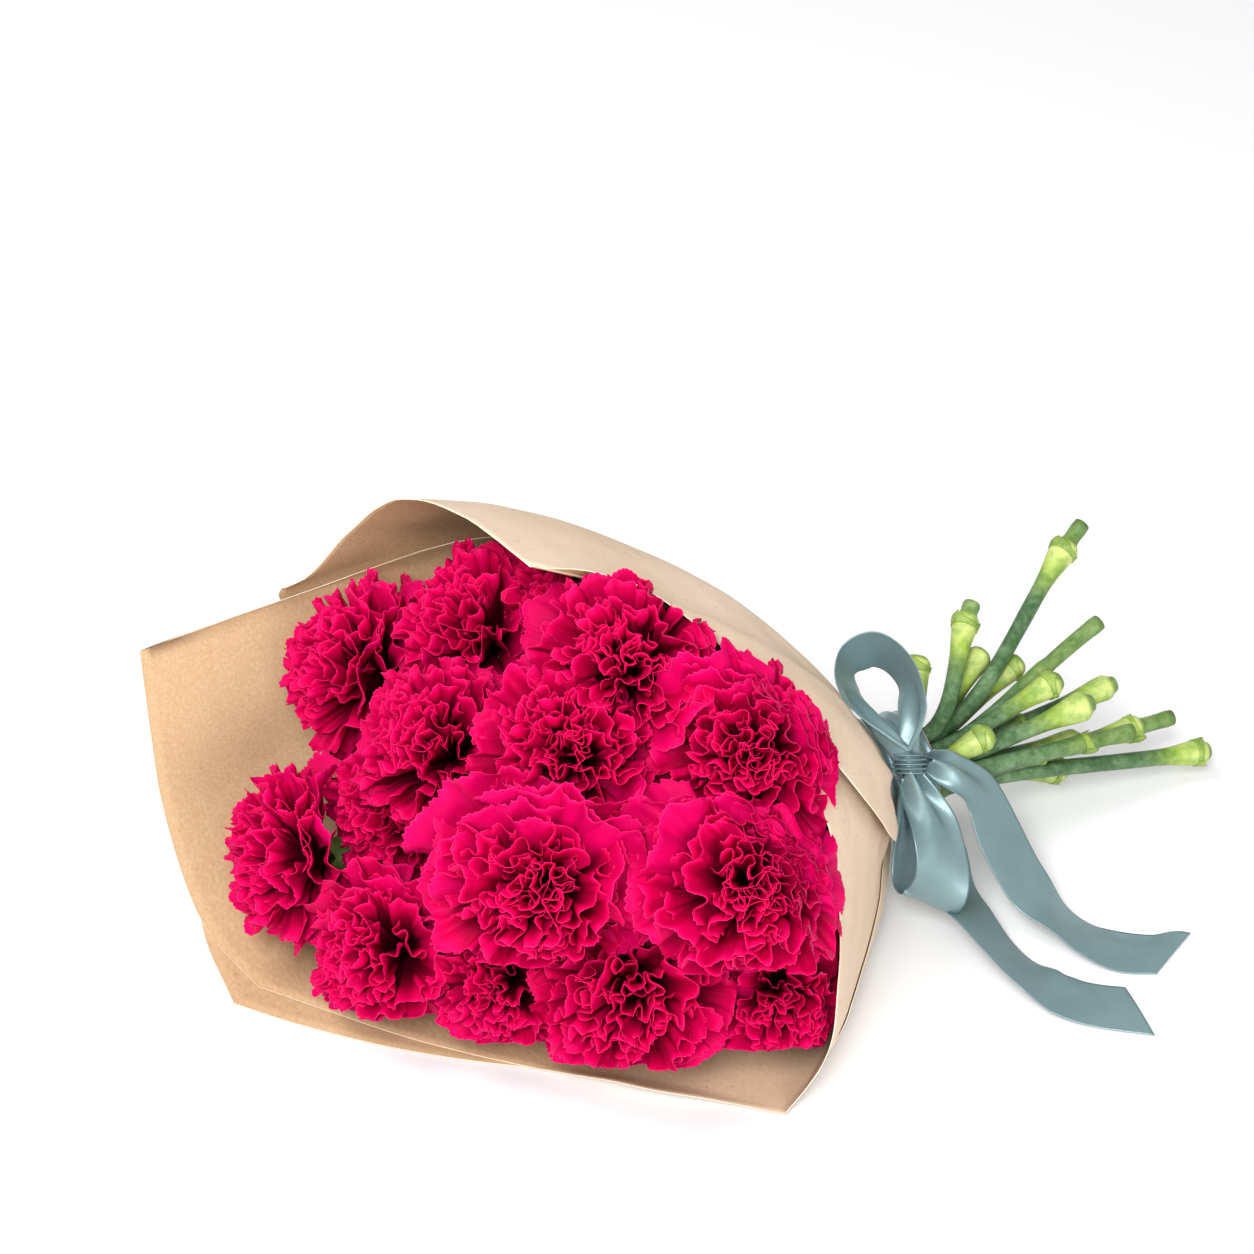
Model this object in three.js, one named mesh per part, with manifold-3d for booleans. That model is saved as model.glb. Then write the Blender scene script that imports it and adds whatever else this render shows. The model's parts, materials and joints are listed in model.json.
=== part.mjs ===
// A bunch of fifteen carnations rolled in two sheets of kraft paper and tied with a satin ribbon.
// It lies on its side: heads towards -X, cut stem ends towards +X, the bow on the -Y side.
// Millimetres, +Z up.
import * as THREE from 'three';
import Module from 'manifold-3d';

const wasm = await Module();
wasm.setup();

// ---------------------------------------------------------------- driving dimensions
const TIE_HEIGHT = 45;
const WAIST_RADIUS = 21;
const WAIST_HALF_LENGTH = 10;
const PAPER_THICKNESS = 0.9;
const SHEET_GAP = 0.7;
const LIP_LENGTH = 6;
const LIP_FLARE = 2.5;
const FAR_LIFT = 4;
const FLAP_LIFT = 1.5;
const NEAR_LIFT = 1;
const LEAST_COVER = 0.04;
const CLEARANCE_PER_SHARE = 120;

const STEM_RADIUS = 3.15;
const STEM_SIDES = 6;
const CALYX_LENGTH = 25;
const CALYX_RADIUS = 7.6;
const STEM_CLEARANCE = 0.35;

const GUARD_PETALS = 6;
const HEAD_SEGMENTS = 20;
const CELL_GAP = 0.25;
const CELL_SOFT_START = 0.82;

const RIBBON_THICKNESS = 0.8;
const RIBBON_WIDTH = 25;
const BAND_HALF_WIDTH = 9;
const BAND_RADIUS = 23.1;

// Places the part's own origin under the middle of its bounding box.
const ORIGIN_SHIFT = new THREE.Vector3(67.776, -7.874, 0);

// Paper rays. Each leaves the tie at an angle (0 down, 90 towards the bow, 180 up) and ends at a rim
// point; it bows out by a bulge, and each sheet covers a share of it. A corner breaks the rim's curve.
const RAYS = [
  { angle: -180, rim: [-150, 36, 176], bulge: 14, inner: 0.0, outer: 1.0, corner: true },
  { angle: -170, rim: [-157, 72, 173], bulge: 18, inner: 0.0, outer: 1.0 },
  { angle: -160, rim: [-166, 104, 165], bulge: 25, inner: 0.05, outer: 1.0 },
  { angle: -148, rim: [-175, 130, 148], bulge: 34, inner: 0.25, outer: 1.0 },
  { angle: -136, rim: [-187, 145, 124], bulge: 42, inner: 0.55, outer: 1.0 },
  { angle: -125, rim: [-210, 152, 100], bulge: 48, inner: 0.86, outer: 0.98 },
  { angle: -115, rim: [-277, 157, 90], bulge: 50, inner: 1.0, outer: 0.76, corner: true },
  { angle: -104, rim: [-283, 132, 60], bulge: 48, inner: 1.0, outer: 0.86 },
  { angle: -92, rim: [-286, 112, 34], bulge: 44, inner: 1.0, outer: 0.94 },
  { angle: -75, rim: [-288, 70, 12], bulge: 40, inner: 0.995, outer: 0.995 },
  { angle: -58, rim: [-288, 30, 1], bulge: 34, inner: 0.955, outer: 1.0, corner: true },
  { angle: -40, rim: [-268, 8, 0.5], bulge: 30, inner: 0.955, outer: 1.0 },
  { angle: -22, rim: [-236, -22, 0.5], bulge: 30, inner: 0.97, outer: 1.0 },
  { angle: 0, rim: [-193, -54, 1], bulge: 30, inner: 1.0, outer: 0.995 },
  { angle: 18, rim: [-158, -88, 7], bulge: 30, inner: 1.0, outer: 0.93 },
  { angle: 32, rim: [-130, -106, 3], bulge: 26, inner: 1.0, outer: 0.86 },
  { angle: 45, rim: [-110, -121, 1], bulge: 17, inner: 1.0, outer: 0.78, corner: true },
  { angle: 60, rim: [-94, -121, 22], bulge: 8, inner: 1.0, outer: 0.7 },
  { angle: 75, rim: [-84, -112, 44], bulge: 3, inner: 1.0, outer: 0.5 },
  { angle: 92, rim: [-75, -97, 68], bulge: 2, inner: 1.0, outer: 0.3 },
  { angle: 110, rim: [-70, -80, 94], bulge: 4, inner: 1.0, outer: 0.52 },
  { angle: 128, rim: [-70, -60, 114], bulge: 6, inner: 1.0, outer: 0.78 },
  { angle: 145, rim: [-80, -32, 136], bulge: 9, inner: 0.8, outer: 0.93 },
  { angle: 160, rim: [-105, 8, 164], bulge: 12, inner: 0.3, outer: 1.0 },
  { angle: 170, rim: [-130, 26, 173], bulge: 13, inner: 0.0, outer: 1.0 },
  { angle: 180, rim: [-150, 36, 176], bulge: 14, inner: 0.0, outer: 1.0, corner: true },
];
const INNER_SPAN = [-160, 160];
const OUTER_SPAN = [-268, 60];
const SHEET_ROWS = [0, 0.1, 0.26, 0.48, 0.74, 1];

// Carnations: head centre, facing, head radius, slot across the tie (Y, Z), cut end of the stem, and the
// angles at which a head spills over the paper's edge.
const CARNATIONS = [
  { name: 'a', centre: [-122, 3, 148], facing: [-0.45, -0.35, 0.82], radius: 51,
    slot: [0, 12.6], end: [62, 44, 82], over: [138, 200] },
  { name: 'b', centre: [-93, -47, 126], facing: [-0.5, -0.6, 0.6], radius: 49,
    slot: [-11, 6.3], end: [42, -12, 60], over: [112, 178] },
  { name: 'c', centre: [-156, 80, 117], facing: [-0.6, 0.1, 0.8], radius: 43,
    slot: [7.3, 0], end: [61, 31, 65] },
  { name: 'e', centre: [-116, 60, 135], facing: [-0.4, 0.3, 0.85], radius: 40,
    slot: [11, 6.3], end: [30, 33, 72] },
  { name: 'f', centre: [-198, 110, 88], facing: [-0.88, 0.25, 0.4], radius: 43,
    slot: [11, -6.3], end: [76, 24, 60] },
  { name: 'g', centre: [-250, 55, 46], facing: [-0.93, 0.15, 0.12], radius: 41,
    slot: [0, 0], end: [113, 21, 71] },
  { name: 'h', centre: [-206, 43, 62], facing: [-0.8, -0.35, 0.5], radius: 40,
    slot: [3.6, -6.3], end: [115, 7, 46] },
  { name: 'j', centre: [-235, -6, 38], facing: [-0.85, -0.4, 0.3], radius: 40,
    slot: [0, -12.6], end: [90, 2, 9] },
  { name: 'k', centre: [-183, -48, 92], facing: [-0.5, -0.62, 0.6], radius: 50,
    slot: [-7.3, 0], end: [94, -8, 55] },
  { name: 'l', centre: [-198, -44, 40], facing: [-0.65, -0.7, 0.3], radius: 35,
    slot: [-3.6, -6.3], end: [94, -2, 28] },
  { name: 'm', centre: [-156, -76, 48], facing: [-0.45, -0.75, 0.45], radius: 43,
    slot: [-7.3, -12.6], end: [152, -17, 12] },
  { name: 'n', centre: [-114, -93, 103], facing: [-0.3, -0.78, 0.55], radius: 51,
    slot: [-14.6, 0], end: [112, -14, 36] },
  { name: 'o', centre: [-99, -94, 38], facing: [-0.3, -0.88, 0.3], radius: 38,
    slot: [-11, -6.3], end: [138, -6, 28] },
  { name: 'p', centre: [-156, -12, 126], facing: [-0.55, -0.35, 0.75], radius: 43,
    slot: [-3.6, 6.3], end: [84, 4, 62] },
  { name: 'q', centre: [-194, 31, 107], facing: [-0.68, -0.1, 0.7], radius: 41,
    slot: [3.6, 6.3], end: [124, 58, 95] },
];

// The bow's own frame: right, up and away as seen from in front of the knot.
const BOW_RIGHT = new THREE.Vector3(0.906, -0.423, 0);
const BOW_UP = new THREE.Vector3(0.272, 0.583, 0.766);
const BOW_AWAY = new THREE.Vector3(0.324, 0.694, -0.643);
const KNOT_CENTRE = new THREE.Vector3(-3, -20.5, 66.5);

// ---------------------------------------------------------------- colours and finishes
const kraftPaper = () => new THREE.MeshStandardMaterial({ color: 0xcfae84, roughness: 0.85, metalness: 0 });
const petalPink = () => new THREE.MeshStandardMaterial({ color: 0xd10a58, roughness: 0.6, metalness: 0 });
const stemGreen = () => new THREE.MeshStandardMaterial({ color: 0x7f9a6a, roughness: 0.55, metalness: 0 });
const satin = () => new THREE.MeshStandardMaterial({ color: 0x87a09f, roughness: 0.35, metalness: 0 });

const bunch = new THREE.Group();

// ---------------------------------------------------------------- small helpers
const DEG = Math.PI / 180;
const vec = (list) => new THREE.Vector3(...list);
const wrapAngle = (angle) => THREE.MathUtils.euclideanModulo(angle + 180, 360) - 180;

function seededRandom(seed) {
  let state = seed >>> 0;
  return () => {
    state = (state + 0x6d2b79f5) >>> 0;
    let mixed = Math.imul(state ^ (state >>> 15), 1 | state);
    mixed = (mixed + Math.imul(mixed ^ (mixed >>> 7), 61 | mixed)) ^ mixed;
    return ((mixed ^ (mixed >>> 14)) >>> 0) / 4294967296;
  };
}

function addPiece(name, geometry, material) {
  geometry.translate(ORIGIN_SHIFT.x, ORIGIN_SHIFT.y, ORIGIN_SHIFT.z);
  const mesh = new THREE.Mesh(geometry, material);
  mesh.name = name;
  bunch.add(mesh);
}

function geometryOf(points, triangles) {
  const geometry = new THREE.BufferGeometry();
  const flat = points.flatMap((p) => [p.x, p.y, p.z]);
  geometry.setAttribute('position', new THREE.Float32BufferAttribute(flat, 3));
  geometry.setIndex(triangles);
  return geometry;
}

// A closed thin sheet from two matching point grids, front and back, split alike on both faces.
function sheetGeometry(columns, rows, frontAt, backAt) {
  const points = [];
  const triangles = [];
  for (const pointAt of [frontAt, backAt]) {
    for (let i = 0; i <= columns; i += 1) {
      for (let j = 0; j <= rows; j += 1) points.push(pointAt(i / columns, j / rows, i, j));
    }
  }
  const back = (columns + 1) * (rows + 1);
  const at = (i, j) => i * (rows + 1) + j;
  const quad = (a, b, c, d) => triangles.push(a, b, c, a, c, d);
  for (let i = 0; i < columns; i += 1) {
    for (let j = 0; j < rows; j += 1) {
      const [a, b, c, d] = [at(i, j), at(i + 1, j), at(i + 1, j + 1), at(i, j + 1)];
      triangles.push(a, b, c, a, c, d);
      triangles.push(back + c, back + b, back + a, back + d, back + c, back + a);
    }
  }
  for (let i = 0; i < columns; i += 1) {
    quad(at(i + 1, 0), at(i, 0), back + at(i, 0), back + at(i + 1, 0));
    quad(at(i, rows), at(i + 1, rows), back + at(i + 1, rows), back + at(i, rows));
  }
  for (let j = 0; j < rows; j += 1) {
    quad(at(0, j), at(0, j + 1), back + at(0, j + 1), back + at(0, j));
    quad(at(columns, j + 1), at(columns, j), back + at(columns, j), back + at(columns, j + 1));
  }
  return outwardGeometry(points, triangles);
}

// Turns every face outward when the enclosed volume comes out negative.
function outwardGeometry(points, triangles) {
  let volume = 0;
  for (let k = 0; k < triangles.length; k += 3) {
    const [a, b, c] = [points[triangles[k]], points[triangles[k + 1]], points[triangles[k + 2]]];
    volume += a.dot(new THREE.Vector3().crossVectors(b, c));
  }
  if (volume < 0) {
    for (let k = 0; k < triangles.length; k += 3) {
      [triangles[k + 1], triangles[k + 2]] = [triangles[k + 2], triangles[k + 1]];
    }
  }
  return geometryOf(points, triangles);
}

// A closed body of rings of points, closed by a fan at each end.
function ringsGeometry(rings, startPole, endPole) {
  const sides = rings[0].length;
  const points = [startPole, ...rings.flat(), endPole];
  const last = points.length - 1;
  const triangles = [];
  const at = (ring, side) => 1 + ring * sides + (side % sides);
  for (let s = 0; s < sides; s += 1) {
    triangles.push(0, at(0, s + 1), at(0, s));
    triangles.push(last, at(rings.length - 1, s), at(rings.length - 1, s + 1));
    for (let r = 0; r < rings.length - 1; r += 1) {
      triangles.push(at(r, s), at(r, s + 1), at(r + 1, s + 1));
      triangles.push(at(r, s), at(r + 1, s + 1), at(r + 1, s));
    }
  }
  return outwardGeometry(points, triangles);
}

function solidOf(geometry) {
  const vertProperties = new Float32Array(geometry.getAttribute('position').array);
  const triVerts = new Uint32Array(geometry.getIndex().array);
  return new wasm.Manifold(new wasm.Mesh({ numProp: 3, vertProperties, triVerts }));
}

function geometryFromSolid(solid) {
  const mesh = solid.getMesh();
  const geometry = new THREE.BufferGeometry();
  geometry.setAttribute('position', new THREE.Float32BufferAttribute(mesh.vertProperties, 3));
  geometry.setIndex(Array.from(mesh.triVerts));
  return geometry;
}

function largestPart(solid) {
  return solid.decompose().reduce((best, part) => (part.volume() > best.volume() ? part : best));
}

// ---------------------------------------------------------------- kraft paper
function raySlope(index, side, valueOf) {
  const [before, here, after] = [RAYS[index - 1], RAYS[index], RAYS[index + 1]];
  const useBefore = before && !(here.corner && side > 0);
  const useAfter = after && !(here.corner && side < 0);
  const low = useBefore ? before : here;
  const high = useAfter ? after : here;
  return (valueOf(high) - valueOf(low)) / (high.angle - low.angle);
}

function rayValue(angle, valueOf) {
  const wrapped = wrapAngle(angle);
  let index = RAYS.findIndex((ray) => ray.angle > wrapped) - 1;
  if (index < 0) index = 0;
  const [low, high] = [RAYS[index], RAYS[index + 1]];
  const span = high.angle - low.angle;
  const t = (wrapped - low.angle) / span;
  const slopeLow = raySlope(index, 1, valueOf) * span;
  const slopeHigh = raySlope(index + 1, -1, valueOf) * span;
  return (2 * t ** 3 - 3 * t ** 2 + 1) * valueOf(low) + (t ** 3 - 2 * t ** 2 + t) * slopeLow
    + (3 * t ** 2 - 2 * t ** 3) * valueOf(high) + (t ** 3 - t ** 2) * slopeHigh;
}

const outwardAt = (angle) => new THREE.Vector3(0, -Math.sin(angle * DEG), -Math.cos(angle * DEG));

function rayPoint(angle, share) {
  const outward = outwardAt(angle);
  const start = new THREE.Vector3(-WAIST_HALF_LENGTH, 0, TIE_HEIGHT).addScaledVector(outward, WAIST_RADIUS);
  const rim = new THREE.Vector3(
    rayValue(angle, (ray) => ray.rim[0]),
    rayValue(angle, (ray) => ray.rim[1]),
    rayValue(angle, (ray) => ray.rim[2]),
  );
  const along = Math.max(share, 0);
  const bow = (along ** 0.75 * (1 - along)) / 0.3026;
  return start.lerp(rim, share).addScaledVector(outward, rayValue(angle, (ray) => ray.bulge) * bow);
}

// Both sheets bend at the same rows, so they stay parallel wherever one of them ends.
function bagPoint(angle, share) {
  const next = SHEET_ROWS.findIndex((row) => row > share);
  const upper = next < 0 ? SHEET_ROWS.length - 1 : next;
  const [low, high] = [SHEET_ROWS[upper - 1], SHEET_ROWS[upper]];
  return rayPoint(angle, low).lerp(rayPoint(angle, high), (share - low) / (high - low));
}

// A point on the paper, moved outward from the inner sheet's outer face and kept off the surface below.
function paperPoint(angle, share, outward, lift = 0) {
  const point = bagPoint(angle, share);
  const across = bagPoint(angle + 0.5, share).sub(bagPoint(angle - 0.5, share));
  const along = bagPoint(angle, share + 0.01).sub(bagPoint(angle, Math.max(share - 0.01, 0)));
  const normal = across.cross(along).normalize();
  if (normal.dot(outwardAt(angle)) < 0) normal.negate();
  point.addScaledVector(normal, outward + lift);
  point.z = Math.max(point.z, PAPER_THICKNESS + SHEET_GAP - outward);
  return point;
}

// Behind the tie the sheets run straight through it and flare into a short lip.
function waistPoint(angle, x, outward) {
  const flare = LIP_FLARE * Math.max(0, (x - WAIST_HALF_LENGTH) / LIP_LENGTH);
  const radius = WAIST_RADIUS + flare + outward;
  return new THREE.Vector3(x, 0, TIE_HEIGHT).addScaledVector(outwardAt(angle), radius);
}

function sheetAngles(span) {
  const angles = new Set(span);
  for (const turn of [-360, 0]) {
    RAYS.forEach((ray) => {
      angles.add(ray.angle + turn);
    });
  }
  return [...angles].filter((angle) => angle >= span[0] && angle <= span[1]).sort((a, b) => a - b);
}

// Rows below the sheet's own edge keep their place, and the others crowd towards it.
function rowShare(index, cover) {
  const kept = SHEET_ROWS.filter((row) => row < cover * 0.97).length;
  if (index < kept) return SHEET_ROWS[index];
  const from = SHEET_ROWS[kept - 1];
  return from + ((cover - from) * (index - kept + 1)) / (SHEET_ROWS.length - kept);
}

// With a clearance the sheet comes out larger all round, as a tool for cutting what lies on it.
function paperSheet(span, coverOf, outwardFace, liftAt, clearance = 0) {
  const angles = sheetAngles(span);
  angles[0] -= clearance;
  angles[angles.length - 1] += clearance;
  const waistRows = [WAIST_HALF_LENGTH + LIP_LENGTH, WAIST_HALF_LENGTH];
  const rows = waistRows.length + SHEET_ROWS.length - 1;
  const faceAt = (outward) => (u, v, i, j) => {
    const angle = angles[i];
    if (j < waistRows.length) return waistPoint(angle, waistRows[j], outward);
    const cover = Math.max(rayValue(angle, coverOf), LEAST_COVER) + clearance / CLEARANCE_PER_SHARE;
    const share = rowShare(j - waistRows.length, cover);
    if (share === 0) return waistPoint(angle, -WAIST_HALF_LENGTH, outward);
    return paperPoint(angle, share, outward, liftAt(angle, share));
  };
  const innerFace = outwardFace - PAPER_THICKNESS - clearance;
  return sheetGeometry(angles.length - 1, rows, faceAt(outwardFace + clearance), faceAt(innerFace));
}

// The outer sheet stands a little off the inner one on the far side, under the bow and at its top flap.
function outerLift(angle, share) {
  const farSide = FAR_LIFT * THREE.MathUtils.smoothstep(-angle, 78, 95);
  const flap = FLAP_LIFT * THREE.MathUtils.smoothstep(-angle, 185, 230);
  const nearSide = NEAR_LIFT * THREE.MathUtils.smoothstep(angle, 25, 50);
  return (farSide + flap + nearSide) * THREE.MathUtils.smoothstep(share, 0.03, 0.3);
}

const innerSheet = (clearance) => paperSheet(INNER_SPAN, (ray) => ray.inner, 0, () => 0, clearance);
const outerSheet = (clearance) => paperSheet(
  OUTER_SPAN,
  (ray) => ray.outer,
  PAPER_THICKNESS + SHEET_GAP,
  outerLift,
  clearance,
);

addPiece('paper_inner_sheet', innerSheet(0), kraftPaper());
addPiece('paper_outer_sheet', outerSheet(0), kraftPaper());

const thickSheets = [innerSheet(0.5), outerSheet(0.5)].map(solidOf);

// ---------------------------------------------------------------- stems with calyx
// Stations of the stem's radius, by distance from the cut end: a swollen joint by the cut, another on
// the longer tails, an even run through the tie and up to the head, then the calyx.
function stemStations(path, random) {
  const [tail, tie, neck, calyx] = path.getCurveLengths();
  const joint = tail * (0.55 + 0.12 * random());
  const joints = tail > 60 ? [[joint - 5, STEM_RADIUS], [joint, 4.1], [joint + 5, STEM_RADIUS]] : [];
  const run = [tail, tie, 0.66 * tie + 0.34 * neck, 0.33 * tie + 0.67 * neck];
  return [
    [0, 3.7], [4, 4.2], [9, 5.2], [15, 3.5], ...joints,
    ...run.map((distance) => [distance, STEM_RADIUS]),
    [neck, 3.6], [neck + 4, 6.6], [calyx, CALYX_RADIUS],
  ];
}

function stemCurve(carnation) {
  const [slotY, slotZ] = carnation.slot;
  const facing = vec(carnation.facing).normalize();
  const mouth = vec(carnation.centre).addScaledVector(facing, -0.36 * carnation.radius);
  const calyxBase = mouth.clone().addScaledVector(facing, -CALYX_LENGTH);
  const inlet = new THREE.Vector3(WAIST_HALF_LENGTH + 2, slotY, TIE_HEIGHT + slotZ);
  const outlet = new THREE.Vector3(-WAIST_HALF_LENGTH - 2, slotY, TIE_HEIGHT + slotZ);
  const end = vec(carnation.end);
  const alongTie = new THREE.Vector3(1, 0, 0);
  const tailReach = 0.3 * end.distanceTo(inlet);
  const headReach = 0.3 * calyxBase.distanceTo(outlet);
  const path = new THREE.CurvePath();
  path.add(new THREE.CubicBezierCurve3(
    end,
    end.clone().lerp(inlet, 0.4),
    inlet.clone().addScaledVector(alongTie, tailReach),
    inlet,
  ));
  path.add(new THREE.LineCurve3(inlet, outlet));
  path.add(new THREE.CubicBezierCurve3(
    outlet,
    outlet.clone().addScaledVector(alongTie, -headReach),
    calyxBase.clone().addScaledVector(facing, -0.6 * headReach),
    calyxBase,
  ));
  path.add(new THREE.LineCurve3(calyxBase, mouth));
  return path;
}

function stemGeometry(carnation, extra) {
  const random = seededRandom(carnation.name.charCodeAt(0) * 7919);
  const curve = stemCurve(carnation);
  const length = curve.getLength();
  const corner = 1 / Math.cos(Math.PI / STEM_SIDES);
  const rings = stemStations(curve, random).map(([distance, radius]) => {
    const u = Math.min(distance / length, 1);
    const centre = curve.getPointAt(u);
    const tangent = curve.getTangentAt(u);
    if (distance === 0) centre.addScaledVector(tangent, -extra);
    if (distance === length) centre.addScaledVector(tangent, extra);
    const side = new THREE.Vector3(0, 0, 1).cross(tangent).normalize();
    const up = tangent.clone().cross(side);
    const reach = radius + extra * corner;
    return Array.from({ length: STEM_SIDES }, (_, k) => {
      const turn = (2 * Math.PI * k) / STEM_SIDES;
      const point = centre.clone().addScaledVector(side, reach * Math.cos(turn));
      return point.addScaledVector(up, reach * Math.sin(turn));
    });
  });
  const middleOf = (ring) => {
    const sum = new THREE.Vector3();
    ring.forEach((p) => sum.add(p));
    return sum.divideScalar(ring.length);
  };
  return ringsGeometry(rings, middleOf(rings[0]), middleOf(rings[rings.length - 1]));
}

const stemSolids = CARNATIONS.map((carnation) => solidOf(stemGeometry(carnation, STEM_CLEARANCE)));
CARNATIONS.forEach((carnation) => {
  addPiece(`stem_${carnation.name}`, stemGeometry(carnation, 0), stemGreen());
});

// ---------------------------------------------------------------- petals
// Each head is pressed into its own cell: planes halfway to its neighbours and along the paper.
function cellPlanes(carnation) {
  const centre = vec(carnation.centre);
  const planes = [];
  for (const other of CARNATIONS) {
    if (other === carnation) continue;
    const toward = vec(other.centre).sub(centre);
    const distance = toward.length();
    const share = carnation.radius / (carnation.radius + other.radius);
    planes.push({ normal: toward.normalize(), reach: distance * share - CELL_GAP });
  }
  planes.push({ normal: new THREE.Vector3(0, 0, -1), reach: centre.z - 3.2 });
  const [overFrom, overTo] = carnation.over ?? [400, 400];
  for (let angle = -160; angle < 200; angle += 7.5) {
    if (angle > overFrom && angle < overTo) continue;
    for (let share = 0.1; share <= 1.3; share += 0.1) {
      const inside = paperPoint(angle, share, -PAPER_THICKNESS - 0.5);
      const outside = paperPoint(angle, share, 0.5);
      const normal = outside.sub(inside).normalize();
      const offset = inside.sub(centre);
      if (offset.length() < 1.5 * carnation.radius && offset.dot(normal) > 0.35 * carnation.radius) {
        planes.push({ normal, reach: offset.dot(normal) });
      }
    }
  }
  return planes;
}

function pressIntoCell(point, centre, planes) {
  const offset = point.clone().sub(centre);
  const distance = offset.length();
  if (distance < 1e-6) return point;
  const direction = offset.clone().divideScalar(distance);
  let limit = 1e9;
  for (const plane of planes) {
    const facing = direction.dot(plane.normal);
    if (facing > 1e-3) limit = Math.min(limit, plane.reach / facing);
  }
  const ratio = distance / limit;
  if (ratio <= CELL_SOFT_START) return point;
  const rest = 1 - CELL_SOFT_START;
  const pressed = CELL_SOFT_START + rest * (1 - Math.exp(-(ratio - CELL_SOFT_START) / rest));
  return centre.clone().addScaledVector(direction, pressed * limit);
}

// Rings of the head from its middle outward: angle from the facing, depth below the crest, sideways fold.
// Each crest is the waved edge of one layer of petals; the last four layers are thin and stand out furthest.
const HEAD_RINGS = [
  [9, 0, 3], [17, 9, 1], [27, 0, 4.5], [35, 11, 2], [45, 0, 4.5], [53, 12, 2],
  [62, -1, 4.5], [64, -1, 4.5], [72, 12, 2], [81, -3, 4.5], [83, -3, 4.5], [90, 13, 2],
  [99, -4, 4.5], [101, -4, 4.5], [109, 12, 2], [136, 3, 0],
];

function petalEdges(random) {
  return Array.from({ length: HEAD_SEGMENTS }, (_, k) => ({
    swing: (k % 2 ? 1 : -1) * (0.7 + 0.6 * random()),
    drop: 3 * random() ** 2,
    drift: 0.35 * (random() - 0.5),
  }));
}

function headRings(carnation, frame, press, random) {
  const wide = 0.9 * carnation.radius;
  const high = 0.68 * carnation.radius;
  const low = 0.46 * carnation.radius;
  let edges = petalEdges(random);
  let offset = 0;
  return HEAD_RINGS.map(([polar, depth, fold], ring) => {
    const thinLayer = ring > 0 && depth === HEAD_RINGS[ring - 1][1];
    if (!thinLayer) {
      edges = petalEdges(random);
      offset = 0.5 - offset;
    }
    return edges.map((edge, k) => {
      const tilt = (polar + edge.swing * fold) * DEG;
      const turn = (2 * Math.PI * (k + offset + edge.drift)) / HEAD_SEGMENTS;
      const vertical = Math.cos(tilt) > 0 ? high : low;
      const surface = 1 / Math.hypot(Math.sin(tilt) / wide, Math.cos(tilt) / vertical);
      const parting = depth < 0 ? 7 * Math.abs(Math.cos(GUARD_PETALS * 0.5 * turn + ring)) ** 6 : 0;
      const reach = surface - depth - (depth < 5 ? edge.drop : 0) - parting;
      return press(frame(reach * Math.sin(tilt), turn, reach * Math.cos(tilt)));
    });
  });
}

function bloomGeometry(carnation) {
  const random = seededRandom(carnation.name.charCodeAt(0) * 104729);
  const centre = vec(carnation.centre);
  const facing = vec(carnation.facing).normalize();
  const across = new THREE.Vector3(0, 1, 0.3).cross(facing).normalize();
  const third = facing.clone().cross(across);
  const planes = cellPlanes(carnation);
  const frame = (lateral, turn, height) => centre.clone().addScaledVector(facing, height)
    .addScaledVector(across, lateral * Math.cos(turn)).addScaledVector(third, lateral * Math.sin(turn));
  const press = (point) => pressIntoCell(point, centre, planes);
  const top = press(frame(0, 0, 0.68 * carnation.radius - 6));
  const base = press(frame(0, 0, -0.44 * carnation.radius));
  let solid = solidOf(ringsGeometry(headRings(carnation, frame, press, random), top, base));
  for (const stem of stemSolids) solid = solid.subtract(stem);
  if (carnation.over) {
    for (const sheet of thickSheets) solid = solid.subtract(sheet);
  }
  return geometryFromSolid(largestPart(solid));
}

CARNATIONS.forEach((carnation) => {
  addPiece(`petals_${carnation.name}`, bloomGeometry(carnation), petalPink());
});

// ---------------------------------------------------------------- ribbon
// A ribbon strip follows a line of stations: position, direction of its width, share of full width.
function ribbonStrip(stations, segments) {
  const smoothLine = (points) => new THREE.CatmullRomCurve3(points, false, 'centripetal');
  const line = smoothLine(stations.map((s) => s.at));
  const widths = smoothLine(stations.map((s) => s.across.clone().normalize()));
  const scaleAt = (u) => {
    const place = u * (stations.length - 1);
    const index = Math.min(Math.floor(place), stations.length - 2);
    return THREE.MathUtils.lerp(stations[index].width, stations[index + 1].width, place - index);
  };
  const face = (lift) => (u, v) => {
    const tangent = line.getTangent(u);
    const across = widths.getPoint(u);
    across.addScaledVector(tangent, -across.dot(tangent)).normalize();
    const normal = tangent.clone().cross(across).normalize();
    const point = line.getPoint(u).addScaledVector(across, (v - 0.5) * RIBBON_WIDTH * scaleAt(u));
    return point.addScaledVector(normal, lift);
  };
  return sheetGeometry(segments, 2, face(RIBBON_THICKNESS / 2), face(-RIBBON_THICKNESS / 2));
}

const bow = (right, up, away) => KNOT_CENTRE.clone().addScaledVector(BOW_RIGHT, right)
  .addScaledVector(BOW_UP, up).addScaledVector(BOW_AWAY, away);
const bowWay = (right, up, away) => bow(right, up, away).sub(KNOT_CENTRE);
const station = (at, across, width) => ({ at, across, width });

function bandGeometry() {
  const segments = 24;
  const profile = [
    [BAND_RADIUS, -BAND_HALF_WIDTH], [BAND_RADIUS + RIBBON_THICKNESS, -BAND_HALF_WIDTH + 0.5],
    [BAND_RADIUS + RIBBON_THICKNESS, BAND_HALF_WIDTH - 0.5], [BAND_RADIUS, BAND_HALF_WIDTH],
  ].map(([radius, height]) => new THREE.Vector2(radius, height));
  profile.push(profile[0].clone());
  const lathe = new THREE.LatheGeometry(profile, segments);
  lathe.rotateZ(-Math.PI / 2);
  lathe.translate(0, 0, TIE_HEIGHT);
  return lathe;
}

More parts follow.
